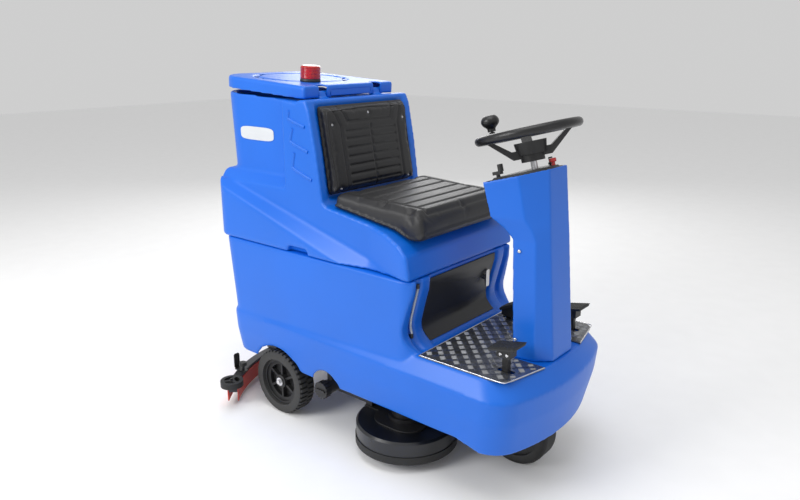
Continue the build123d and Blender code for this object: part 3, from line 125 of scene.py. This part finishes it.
# painted highlight: the raised bars are the plate's own metal in a lighter colour, standing in for the light
# they catch
tread_bars_painted_highlight = material("tread_bars", (0.34, 0.35, 0.37), rough=0.32, metal=1.0, grain=700, bump=0.15,
                      vary=0.2, patch=40)
motor_paint = material("motor_paint", (0.018, 0.018, 0.02), rough=0.4, metal=0.3, grain=300, bump=0.15,
                       vary=0.3)
cover_paint = material("cover_paint", (0.006, 0.007, 0.010), rough=0.3, grain=400, bump=0.1, vary=0.3,
                       coat=0.3)
battery_case = material("battery_case", (0.03, 0.03, 0.033), rough=0.5, grain=400, bump=0.2, vary=0.2)
alloy = material("cast_alloy", (0.42, 0.42, 0.44), rough=0.42, metal=1.0, grain=300, bump=0.3, vary=0.2)
dark_alloy = material("squeegee_metal", (0.05, 0.05, 0.055), rough=0.4, metal=0.7, grain=300, bump=0.25,
                      vary=0.3, wear=0.5)
red_blade = material("red_blade", (0.50, 0.035, 0.018), rough=0.45, grain=300, bump=0.15, vary=0.2)
red_stop = material("red_stop", (0.55, 0.01, 0.01), rough=0.28, grain=600, bump=0.05, vary=0.1, coat=0.5)
red_lens = material("red_lens", (0.60, 0.006, 0.003), rough=0.12, grain=200, bump=0.05, vary=0.15,
                    coat=0.6, transmission=0.35)
hose_clear = material("level_hose", (0.55, 0.60, 0.64), rough=0.22, grain=200, bump=0.05, vary=0.1,
                      transmission=0.3, coat=0.4)
label_white = material("blank_label", (0.62, 0.64, 0.66), rough=0.3, grain=500, bump=0.03, vary=0.03,
                       coat=0.4)
bristle = material("bristle_fibre", (0.012, 0.02, 0.09), rough=0.55, grain=1500, bump=0.4, vary=0.4,
                   patch=120)

node_finish = {
    "solution_tank": blue, "recovery_tank": blue, "tank_lid": blue, "column_cover": blue,
    "tread_plate": tread, "access_panel": panel_black, "panel_latch": zinc, "level_hose": hose_clear,
    "hose_elbows": black, "chassis_frame": frame_paint, "rear_axle": bright,
    "rear_rim_right": rim_plastic, "rear_rim_left": rim_plastic, "rear_tyre_right": rubber,
    "rear_tyre_left": rubber, "drive_fork": frame_paint, "traction_motor": motor_paint,
    "drive_rim": rim_plastic, "drive_tyre": rubber, "dash_panel": black, "steering_rim": grip,
    "steering_hub": black, "steering_shaft": zinc, "lower_steering_shaft": zinc,
    "spinner_knob": grip, "direction_lever": black, "key_switch": black, "stop_button": red_stop,
    "pedal_brackets": zinc, "accelerator_pedal": frame_paint, "brake_pedal": frame_paint,
    "lift_pedal": frame_paint, "batteries": battery_case, "motor_controller": alloy,
    "deck_lower_arms": frame_paint, "deck_upper_arm": frame_paint, "deck_plate": frame_paint,
    "brush_covers": cover_paint, "skirts": skirt_rubber, "brush_motors": motor_paint,
    "brush_right": bristle, "brush_left": bristle, "lift_actuator": motor_paint,
    "actuator_rod": zinc, "filter_body": black, "filter_cap": black, "squeegee_lower_arms": zinc,
    "squeegee_upper_arm": zinc, "squeegee_carrier": zinc, "squeegee_body": dark_alloy,
    "squeegee_blades": red_blade, "squeegee_clamps": black, "bumper_roller_right": skirt_rubber,
    "bumper_roller_left": skirt_rubber, "vacuum_motor": motor_paint, "lid_hinge_pins": zinc,
    "beacon": red_lens, "seat_cushion": vinyl, "backrest_cushion": vinyl, "tank_hinges": zinc,
}
for name, node in nodes.items():
    node.data.materials.clear()
    node.data.materials.append(node_finish[name])


# ---------------------------------------------------------------- making pieces
def piece(name, verts, faces, body, mat, smooth=True):
    """A mesh piece that rides on a body."""
    mesh = bpy.data.meshes.new(name)
    mesh.from_pydata([tuple(v) for v in verts], [], faces)
    mesh.validate()
    bm = bmesh.new()
    bm.from_mesh(mesh)
    bmesh.ops.recalc_face_normals(bm, faces=bm.faces)
    bm.to_mesh(mesh)
    bm.free()
    mesh.materials.append(mat)
    for face in mesh.polygons:
        face.use_smooth = smooth
    obj = bpy.data.objects.new(name, mesh)
    bpy.context.scene.collection.objects.link(obj)
    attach(obj, body)
    return obj


def tube(name, points, radius, body, mat, closed=False):
    """A rounded cord of piping or rib along a few points."""
    curve = bpy.data.curves.new(name, "CURVE")
    curve.dimensions = "3D"
    curve.bevel_depth = radius
    curve.bevel_resolution = 4
    curve.use_fill_caps = True
    spline = curve.splines.new("NURBS")
    spline.points.add(len(points) - 1)
    for point, place in zip(spline.points, points):
        point.co = (*place, 1)
    spline.order_u = 3
    spline.use_endpoint_u = not closed
    spline.use_cyclic_u = closed
    spline.resolution_u = 8
    curve.materials.append(mat)
    obj = bpy.data.objects.new(name, curve)
    bpy.context.scene.collection.objects.link(obj)
    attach(obj, body)
    return obj


def frame_axes(normal, forward=Vector((1, 0, 0))):
    """Unit axes (u, v, normal) of a plane with u as near to forward as it goes."""
    n = Vector(normal).normalized()
    u = (forward - n * forward.dot(n)).normalized()
    return u, n.cross(u), n


def lathe_into(verts, faces, centre, normal, profile, sides=24, forward=Vector((1, 0, 0))):
    """Adds a turned form: profile is (radius, height) in metres, from bottom to top."""
    u, v, n = frame_axes(normal, forward)
    start = len(verts)
    for radius, height in profile:
        for i in range(sides):
            a = 2 * math.pi * i / sides
            verts.append(centre + n * height + (u * math.cos(a) + v * math.sin(a)) * radius)
    for row in range(len(profile) - 1):
        for i in range(sides):
            j = (i + 1) % sides
            a = start + row * sides
            faces.append((a + i, a + j, a + sides + j, a + sides + i))
    faces.append(tuple(start + i for i in reversed(range(sides))))
    last = start + (len(profile) - 1) * sides
    faces.append(tuple(last + i for i in range(sides)))


def screws(name, places, normal_of, radius, height, body, mat):
    """Domed screw heads with a round recess, as one piece."""
    verts, faces = [], []
    for place, normal in zip(places, normal_of):
        n = Vector(normal).normalized()
        u = Vector((0, 0, 1)) if abs(n.z) < 0.9 else Vector((1, 0, 0))
        lathe_into(verts, faces, place, n, [
            (radius, -0.001), (radius, height * 0.35), (radius * 0.86, height * 0.75),
            (radius * 0.55, height), (radius * 0.34, height), (radius * 0.28, height * 0.45)],
            20, u)
    return piece(name, verts, faces, body, mat)


# ---------------------------------------------------------------- cushions
def evaluated_copy(obj, name):
    """A new free object with obj's modifiers applied."""
    graph = bpy.context.evaluated_depsgraph_get()
    mesh = bpy.data.meshes.new_from_object(obj.evaluated_get(graph))
    mesh.name = name
    made = bpy.data.objects.new(name, mesh)
    bpy.context.scene.collection.objects.link(made)
    return made


cushion_voxel = 0.0055
cloth_frames = 20


def puffed(node_name, name, shrink, cap, hold, pressure=4.0):
    """Cushion swelled by cloth simulation from the node's slightly shrunken form.

    hold(place, normal) is the share of its movement that a point keeps, and cap the most that it moves.
    """
    raw = nodes[node_name].copy()
    raw.data = nodes[node_name].data.copy()
    raw.parent = None
    bpy.context.scene.collection.objects.link(raw)
    centre = sum((v.co for v in raw.data.vertices), Vector()) / len(raw.data.vertices)
    for v in raw.data.vertices:
        v.co = Vector([c + (p - c) * s for p, c, s in zip(v.co, centre, shrink)])
    weld = raw.modifiers.new("weld", "WELD")
    weld.merge_threshold = 0.00005
    remesh = raw.modifiers.new("remesh", "REMESH")
    remesh.mode = "VOXEL"
    remesh.voxel_size = cushion_voxel
    soften = raw.modifiers.new("soften", "SMOOTH")
    soften.factor = 0.6
    soften.iterations = 12
    start = evaluated_copy(raw, name)
    bpy.data.objects.remove(raw)
    rest = [v.co.copy() for v in start.data.vertices]
    normals = [v.normal.copy() for v in start.data.vertices]
    cloth = start.modifiers.new("cloth", "CLOTH")
    cloth.settings.use_pressure = True
    cloth.settings.uniform_pressure_force = pressure
    cloth.settings.effector_weights.gravity = 0
    cloth.settings.quality = 5
    cloth.point_cache.frame_end = cloth_frames
    for step in range(1, cloth_frames + 1):
        bpy.context.scene.frame_set(step)
    swollen = evaluated_copy(start, name + "_swollen")
    for i, v in enumerate(swollen.data.vertices):
        move = (v.co - rest[i]) * hold(rest[i], normals[i])
        if move.length > cap:
            move = move.normalized() * cap
        v.co = rest[i] + move
    start.modifiers.clear()
    bpy.data.objects.remove(start)
    start = swollen
    start.name = name
    bpy.context.scene.frame_set(1)
    finer = start.modifiers.new("finer", "SUBSURF")
    finer.levels = 1
    finer.render_levels = 1
    done = evaluated_copy(start, name + "_fine")
    bpy.data.objects.remove(start)
    done.name = name
    return done


def smooth_bump(distance, width):
    """1 on the line, falling smoothly to 0 beyond about twice the width."""
    return math.exp(-(distance / width) ** 2)


def segment_distance(p, a, b):
    """Distance in a plane from a point to the stretch from a to b."""
    ap = (p[0] - a[0], p[1] - a[1])
    ab = (b[0] - a[0], b[1] - a[1])
    t = max(0.0, min(1.0, (ap[0] * ab[0] + ap[1] * ab[1]) / (ab[0] ** 2 + ab[1] ** 2)))
    return math.hypot(ap[0] - ab[0] * t, ap[1] - ab[1] * t)


def sew(obj, flat, facing, channels, depth, width):
    """Presses stitched channels into the side of a cushion that faces a direction."""
    looks = [v.normal.dot(facing) for v in obj.data.vertices]
    places = [v.co.copy() for v in obj.data.vertices]
    for v, look, place in zip(obj.data.vertices, looks, places):
        if look < 0.35:
            continue
        p = flat(place)
        press = 0.0
        for a, b in channels:
            press = max(press, smooth_bump(segment_distance(p, a, b), width))
        v.co = place - facing * depth * press * min(1.0, (look - 0.35) * 3)
    obj.data.update()


def finish_cushion(obj, body, node_name):
    """Vinyl finish and smooth shading; the cushion rides on its body in place of its CAD node, which is
    hidden.
    """
    obj.data.materials.clear()
    obj.data.materials.append(vinyl)
    for face in obj.data.polygons:
        face.use_smooth = True
    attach(obj, body)
    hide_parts(node_name)


seat = puffed("seat_cushion", "seat_pad", (0.975, 0.975, 0.93), 0.010,
              lambda p, n: 0.15 if n.z < -0.3 else 1.0)


def seat_flat(p):
    """Place on the seat seen from above, in millimetres, x counted from the rear axle."""
    return ((p.x - axle_x) * 1000, p.y * 1000)


seat_channels = [((x, -188), (x, 188)) for x in (340, 400, 460, 520, 575)]
seat_channels += [((295, y), (618, y)) for y in (-196, 196)]
seat_channels += [((295, -196), (295, 196)), ((618, -196), (618, 196))]
sew(seat, seat_flat, Vector((0.05, 0, 1)).normalized(), seat_channels, 0.0045, 5.5)
finish_cushion(seat, "upper_body", "seat_cushion")

back = puffed("backrest_cushion", "backrest_pad", (0.96, 0.975, 0.975), 0.009,
              lambda p, n: 0.0 if n.x < -0.2 else 1.0)


def back_flat(p):
    """Place on the backrest seen from the front, in millimetres."""
    return (p.y * 1000, p.z * 1000)


back_channels = [((0, 866), (0, 1086))]
back_channels += [((-128, z), (128, z)) for z in (896, 926, 956, 986, 1016, 1046, 1072)]
back_channels += [((-150, 872), (-150, 1088)), ((150, 872), (150, 1088)), ((-150, 872), (150, 872))]
back_channels += [((-150, 1088), (-178, 1150)), ((150, 1088), (178, 1150))]
back_facing = Vector((0.98, 0, 0.17)).normalized()
sew(back, back_flat, back_facing, back_channels, 0.004, 5)
headrest_channels = [((-112, 1104), (112, 1104)), ((-112, 1104), (-136, 1150)),
                     ((112, 1104), (136, 1150))]
sew(back, back_flat, back_facing, headrest_channels, 0.0055, 6)
screw_spots = ((-186, 1098), (186, 1098), (-182, 884), (182, 884), (0, 1128))
dimples = [((y, z), (y + 0.1, z)) for y, z in screw_spots]
sew(back, back_flat, back_facing, dimples, 0.006, 9)
finish_cushion(back, "upper_body", "backrest_cushion")


def surface_x(obj, y, z):
    """Point on the front of a cushion at a width and height in millimetres."""
    hit, place, _, _ = obj.ray_cast(Vector((0.4, y / 1000, z / 1000)), Vector((-1, 0, 0)))
    return place if hit else Vector((0, y / 1000, z / 1000))


bpy.context.view_layer.update()
screw_places = [surface_x(back, y, z) for y, z in screw_spots]
screws("backrest_screws", screw_places, [(0.97, 0, 0.2)] * 5, 0.005, 0.0025, "upper_body", zinc)


def welt(name, corners):
    """Piping round the front edge of the backrest."""
    points = []
    for (y0, z0), (y1, z1) in zip(corners, corners[1:] + corners[:1]):
        for i in range(8):
            t = i / 8
            y = y0 + (y1 - y0) * t
            z = z0 + (z1 - z0) * t
            points.append(surface_x(back, y, z))
    return tube(name, points, 0.0028, "upper_body", vinyl, closed=True)


welt("backrest_piping", [(-204, 868), (204, 868), (206, 1010), (204, 1142), (0, 1148), (-204, 1142),
                         (-206, 1010)])


# ---------------------------------------------------------------- tread plate
bars_rear = 674
bars_front = 1001
bars_half_width = 279
slant_inner_y = 119
slant_outer_y = 291
slant_outer_x = 973 - 12
column_rear = 875
column_half_width = 130
pedal_slots = ((932, -212), (932, 212), (716, 168))
slot_half_length = 36
slot_half_width = 19


def in_tread(x, y):
    """Whether a point lies on the plate, clear of its edges, the column and the pedal slots."""
    if not bars_rear < x < bars_front or abs(y) > bars_half_width:
        return False
    if abs(y) > slant_inner_y and x > slant_outer_x + (slant_outer_y - abs(y)) * 38 / 172:
        return False
    if x > column_rear and abs(y) < column_half_width:
        return False
    for slot_x, slot_y in pedal_slots:
        if abs(x - slot_x) < slot_half_length and abs(y - slot_y) < slot_half_width:
            return False
    return True


plate_top = 425
bar_top = 426.6
bars_each_side = 2
bar_pitch = 4.6
bar_half_length = 9.5
bar_half_width = 1.5
cell = 26.0
bar_verts, bar_faces = [], []
for row in range(14):
    for column in range(24):
        cx = 668 + cell * (row + 0.5)
        cy = -299 + cell * (column + 0.5)
        turn = math.radians(45 if (row + column) % 2 else -45)
        for i in range(-bars_each_side, bars_each_side + 1):
            bx = cx + math.cos(turn + math.pi / 2) * i * bar_pitch
            by = cy + math.sin(turn + math.pi / 2) * i * bar_pitch
            if not in_tread(bx, by):
                continue
            start = len(bar_verts)
            for t, wide in ((-bar_half_length, 0.0), (-5, bar_half_width), (5, bar_half_width),
                            (bar_half_length, 0.0)):
                for side in ((-1, 1) if wide else (0,)):
                    px = bx + math.cos(turn) * t - math.sin(turn) * side * wide
                    py = by + math.sin(turn) * t + math.cos(turn) * side * wide
                    bar_verts.append(at(px, py, plate_top - 0.1))
            for t in (-6.5, 6.5):
                bar_verts.append(at(bx + math.cos(turn) * t, by + math.sin(turn) * t, bar_top))
            a, b, c, d, e, f, g, h = range(start, start + 8)
            bar_faces += [(a, b, g), (a, g, c), (b, d, h, g), (c, g, h, e), (d, f, h), (e, h, f),
                          (a, c, e, f, d, b)]
# the raised bars carry the lighter metal, a painted highlight
piece("tread_bars", bar_verts, bar_faces, "chassis", tread_bars_painted_highlight, smooth=False)

edge_points = [(664, 285), (664, -285), (664, -289), (668, -289), (930, -289), (969, -289),
               (975, -279), (1007, -130), (1009, -121)]
tube("tread_edge_right", [at(x, y if y < 0 else -2, 424.6) for x, y in edge_points if y < 0], 0.0016,
     "chassis", bright)
tube("tread_edge_left", [at(x, -y, 424.6) for x, y in edge_points if y < 0], 0.0016, "chassis",
     bright)
tube("tread_edge_rear", [at(664, y, 424.6) for y in (-285, -140, 0, 140, 285)], 0.0016, "chassis",
     bright)


# ---------------------------------------------------------------- pedal pads, bolts and screws
def pedal_pad(name, body, heel_x, toe_x, heel_z, toe_z, y, width):
    """Rubber pad with cross ribs and a rounded rim, lying on the pedal plate."""
    verts, faces = [], []
    rows = 41
    columns = 9
    length = math.hypot(toe_x - heel_x, toe_z - heel_z)
    rise = math.atan2(toe_z - heel_z, toe_x - heel_x)
    for layer in (0, 1):
        for i in range(rows):
            for j in range(columns):
                s = i / (rows - 1)
                w = (j / (columns - 1) - 0.5) * 2
                edge = min(s * length, (1 - s) * length, (1 - abs(w)) * width / 2)
                rib = 1.6 if (i % 4 in (1, 2) and 4 < edge) else 0.0
                rim_drop = 1.8 if edge < 1 else 0
                high = 0.3 if layer == 0 else 4.2 + rib * 1.2 - rim_drop
                along = (s - 0.5) * (length + 3)
                cx = (heel_x + toe_x) / 2 + math.cos(rise) * along - math.sin(rise) * high
                cz = (heel_z + toe_z) / 2 - 10 + math.sin(rise) * along + math.cos(rise) * high
                verts.append(at(cx, y + w * (width / 2 + 1.5), cz))
    count = rows * columns
    for i in range(rows - 1):
        for j in range(columns - 1):
            a = i * columns + j
            faces.append((a, a + columns, a + columns + 1, a + 1))
            faces.append((count + a, count + a + 1, count + a + columns + 1, count + a + columns))
    border = [i * columns for i in range(rows)]
    border += [(rows - 1) * columns + j for j in range(1, columns)]
    border += [i * columns + columns - 1 for i in range(rows - 2, -1, -1)]
    border += [j for j in range(columns - 2, 0, -1)]
    for a, b in zip(border, border[1:] + border[:1]):
        faces.append((a, b, count + b, count + a))
    return piece(name, verts, faces, body, skirt_rubber, smooth=False)


pedal_pad("accelerator_pad", "accelerator_pedal", 888, 975, 506, 524, -212, 70)
pedal_pad("brake_pad", "brake_pedal", 888, 975, 506, 524, 212, 70)
pedal_pad("lift_pad", "lift_pedal", 690, 742, 470, 496, 168, 56)
for name, body, y in (("accelerator_bolts", "accelerator_pedal", -212), ("brake_bolts", "brake_pedal", 212)):
    side = -1 if y < 0 else 1
    screws(name, [at(922, y + side * 20, 484), at(944, y + side * 20, 484)], [(0, side, 0)] * 2,
           0.0055, 0.004, body, bright)

column_places = [at(898, -108.5, 766), at(898, 108.5, 766), at(900, -111.6, 484), at(900, 111.6, 484)]
screws("column_screws", column_places, [(0, -1, 0), (0, 1, 0), (0, -1, 0), (0, 1, 0)], 0.0058, 0.0042,
       "chassis", bright)

# ---------------------------------------------------------------- moulded ribs on the tank's sides
rib_radius = 0.0068
rib_y = 263.6
rib_lines = (((79, 1144), (73, 1117), (154, 1094)),
             ((93, 1086), (80, 1040), (166, 1012)),
             ((98, 1003), (86, 950), (180, 918)))
for side, word in ((-1, "right"), (1, "left")):
    for number, (top, knee, end) in enumerate(rib_lines):
        y = side * rib_y
        path = [at(top[0], y, top[1]), at(knee[0], y, knee[1] + 8), at(knee[0] + 3, y, knee[1] - 3),
                at(end[0], y, end[1])]
        tube("side_rib_%s_%d" % (word, number + 1), path, rib_radius, "upper_body", blue)

# ---------------------------------------------------------------- blank label
label_sides = 48
label_power = 0.45
label_x = -137
label_y = -230.6
label_z = 1048
label_half_length = 92
label_half_height = 24
label_verts, label_faces = [], []
for layer, lift in ((0, 0.0002), (1, 0.0011), (2, 0.0013)):
    inset = 0.0 if layer < 2 else 1.2
    for i in range(label_sides):
        a = 2 * math.pi * i / label_sides
        cx = math.copysign(abs(math.cos(a)) ** label_power, math.cos(a)) * (label_half_length - inset)
        cz = math.copysign(abs(math.sin(a)) ** label_power, math.sin(a)) * (label_half_height - inset)
        label_verts.append(at(label_x + cx, label_y, label_z + cz) - Vector((0, lift, 0)))
for row in range(2):
    low = row * label_sides
    for i in range(label_sides):
        j = (i + 1) % label_sides
        label_faces.append((low + i, low + j, low + label_sides + j, low + label_sides + i))
label_faces.append(tuple(range(2 * label_sides, 3 * label_sides)))
label_faces.append(tuple(reversed(range(label_sides))))
piece("blank_label", label_verts, label_faces, "upper_body", label_white)

# ---------------------------------------------------------------- beacon
lid_tilt = math.radians(3.5)
lid_normal = Vector((math.sin(lid_tilt), 0, math.cos(lid_tilt)))
lid_u = Vector((math.cos(lid_tilt), 0, -math.sin(lid_tilt)))
beacon_at = at(119, 0, 1180) + lid_u * -0.118 + Vector((0, -0.090, 0)) + lid_normal * 0.044
lens_verts, lens_faces = [], []
profile = [(0.0355, 0.0118)]
lens_rings = 8
ring_pitch = 0.0048
for step in range(lens_rings):
    low = 0.0125 + step * ring_pitch
    profile += [(0.0352, low), (0.0366, low + 0.0016), (0.0366, low + 0.0032), (0.0352, low + 0.0046)]
profile += [(0.0350, 0.0530), (0.0325, 0.0555), (0.0270, 0.0566), (0.0120, 0.0569)]
lathe_into(lens_verts, lens_faces, beacon_at, lid_normal, profile, 48)
lens = piece("beacon_dome", lens_verts, lens_faces, "tank_lid", red_lens)
foot_verts, foot_faces = [], []
lathe_into(foot_verts, foot_faces, beacon_at, lid_normal,
           [(0.0368, 0.0), (0.0370, 0.004), (0.0362, 0.0105), (0.0340, 0.0125)], 48)
piece("beacon_foot", foot_verts, foot_faces, "tank_lid", black)
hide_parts("beacon")

# ---------------------------------------------------------------- lid's front lip between the hinges
lip_verts, lip_faces = [], []
lip_section = [(112.6, 1188), (114, 1186.4), (117.4, 1186.4), (118.8, 1188), (119, 1198), (119, 1208.5),
               (112.6, 1208.5)]
for y in (-102.4, -101, 101, 102.4):
    for x, z in lip_section:
        lip_verts.append(at(x, y, z))
wide = len(lip_section)
for row in range(3):
    for i in range(wide):
        j = (i + 1) % wide
        lip_faces.append((row * wide + i, row * wide + j, (row + 1) * wide + j, (row + 1) * wide + i))
lip_faces.append(tuple(reversed(range(wide))))
lip_faces.append(tuple(range(3 * wide, 4 * wide)))
piece("lid_front_lip", lip_verts, lip_faces, "tank_lid", blue, smooth=False)

# ---------------------------------------------------------------- brushes
random.seed(7)
brush_x = 525
tuft_rings = 6
first_ring_radius = 82
ring_step = 14.5
tufts_per_radius = 0.62
tuft_sides = 6
for word, side_y in (("right", -180), ("left", 180)):
    verts, faces = [], []
    lathe_into(verts, faces, at(brush_x, side_y, 0), (0, 0, 1), [
        (0.150, 0.0750), (0.157, 0.0765), (0.160, 0.0790), (0.160, 0.0870), (0.157, 0.0900),
        (0.024, 0.0905), (0.024, 0.1000), (0.008, 0.1005), (0.008, 0.1380)], 64)
    block = piece("brush_block_" + word, verts, faces, "brush_" + word, motor_paint)
    verts, faces = [], []
    for ring in range(tuft_rings):
        radius = first_ring_radius + ring * ring_step
        count = int(radius * tufts_per_radius)
        for i in range(count):
            a = 2 * math.pi * (i + 0.5 * (ring % 2)) / count
            spread = 1.0 + random.uniform(0.0, 0.02)
            start = len(verts)
            for z, r, out in ((76, 3.4, 1.0), (52, 4.0, spread), (31.5, 4.6, spread + 0.012)):
                for k in range(tuft_sides):
                    b = a + math.pi * k / 3
                    cx = brush_x + math.cos(a) * radius * out + math.cos(b) * r
                    cy = side_y + math.sin(a) * radius * out + math.sin(b) * r
                    verts.append(at(cx, cy, z))
            for row in range(2):
                for k in range(tuft_sides):
                    m = (k + 1) % tuft_sides
                    low = start + row * tuft_sides
                    faces.append((low + k, low + m, low + tuft_sides + m, low + tuft_sides + k))
            faces.append(tuple(start + k for k in reversed(range(tuft_sides))))
            faces.append(tuple(start + 2 * tuft_sides + k for k in range(tuft_sides)))
    piece("bristle_tufts_" + word, verts, faces, "brush_" + word, bristle)
    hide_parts("brush_" + word)

# ---------------------------------------------------------------- soft moulded edges
def soften_shell(name, voxel, rounds):
    """Rounds a moulded shell's edges the way rotomoulding does."""
    node = nodes[name]
    weld = node.modifiers.new("weld", "WELD")
    weld.merge_threshold = 0.00002
    remesh = node.modifiers.new("remesh", "REMESH")
    remesh.mode = "VOXEL"
    remesh.voxel_size = voxel
    remesh.use_smooth_shade = True
    soften = node.modifiers.new("soften", "SMOOTH")
    soften.factor = 0.5
    soften.iterations = rounds


soften_shell("solution_tank", 0.005, 16)
soften_shell("recovery_tank", 0.005, 14)
# the lid is thin under its oval channel, and this voxel size leaves small holes along the channel
soften_shell("tank_lid", 0.0035, 10)
soften_shell("column_cover", 0.0032, 10)

for name, width in (("dash_panel", 1.5), ("steering_hub", 2.5), ("direction_lever", 1.5),
                    ("key_switch", 1.0), ("access_panel", 1.5), ("accelerator_pedal", 1.2),
                    ("brake_pedal", 1.2), ("lift_pedal", 1.2), ("squeegee_carrier", 1.0),
                    ("squeegee_clamps", 1.0), ("filter_cap", 0.8), ("chassis_frame", 1.5),
                    ("motor_controller", 1.0), ("batteries", 2.5), ("deck_plate", 1.0),
                    ("rear_rim_right", 1.2), ("rear_rim_left", 1.2), ("squeegee_body", 1.0)):
    node = nodes[name]
    weld = node.modifiers.new("weld", "WELD")
    weld.merge_threshold = 0.00002
    bevel = node.modifiers.new("bevel", "BEVEL")
    bevel.width = width / 1000
    bevel.segments = 2
    bevel.limit_method = "ANGLE"
    bevel.angle_limit = math.radians(40)
    bevel.use_clamp_overlap = True
    normals = node.modifiers.new("normals", "WEIGHTED_NORMAL")
    normals.keep_sharp = False


# ---------------------------------------------------------------- camera, floor and light
camera_data = bpy.data.cameras.new("camera")
camera_data.lens = 31.87
camera_data.sensor_width = 36
camera = bpy.data.objects.new("camera", camera_data)
bpy.context.scene.collection.objects.link(camera)
camera.location = at(1915.12, -1899.07, 1356.68)
azimuth = math.radians(39.55)
elevation = math.radians(16.13)
level_reach = math.cos(elevation)
forward = Vector((-math.sin(azimuth) * level_reach, math.cos(azimuth) * level_reach, -math.sin(elevation)))
camera.rotation_euler = forward.to_track_quat("-Z", "Y").to_euler()
bpy.context.scene.camera = camera

bm = bmesh.new()
bmesh.ops.create_grid(bm, x_segments=8, y_segments=8, size=14)
floor_mesh = bpy.data.meshes.new("floor")
bm.to_mesh(floor_mesh)
bm.free()
floor = bpy.data.objects.new("floor", floor_mesh)
bpy.context.scene.collection.objects.link(floor)
floor_mesh.materials.append(material("floor", (0.93, 0.93, 0.93), rough=0.9, grain=20, bump=0.0, vary=0.01))
floor.location.z = -0.0005

world = bpy.data.worlds.new("studio")
bpy.context.scene.world = world
world.use_nodes = True
world.node_tree.nodes["Background"].inputs["Color"].default_value = (1.0, 1.0, 1.0, 1)
world.node_tree.nodes["Background"].inputs["Strength"].default_value = 0.62


def area(name, place, target, size, power):
    """A square area light that points at a target."""
    data = bpy.data.lights.new(name, "AREA")
    data.shape = "RECTANGLE"
    data.size = size
    data.size_y = size
    data.energy = power
    lamp = bpy.data.objects.new(name, data)
    bpy.context.scene.collection.objects.link(lamp)
    lamp.location = place
    lamp.rotation_euler = (Vector(target) - Vector(place)).to_track_quat("-Z", "Y").to_euler()


area("key", (-1.3, -3.6, 2.5), (0, 0, 0.6), 1.8, 95)
area("top", (0.2, -0.6, 4.2), (0, 0, 0.5), 2.6, 55)
area("fill", (3.4, -0.8, 1.6), (0.2, 0, 0.5), 2.0, 5)
area("back", (-2.5, 3.0, 2.4), (0, 0, 0.7), 2.0, 40)

bpy.context.scene.view_settings.view_transform = "Standard"
bpy.context.scene.view_settings.look = "None"
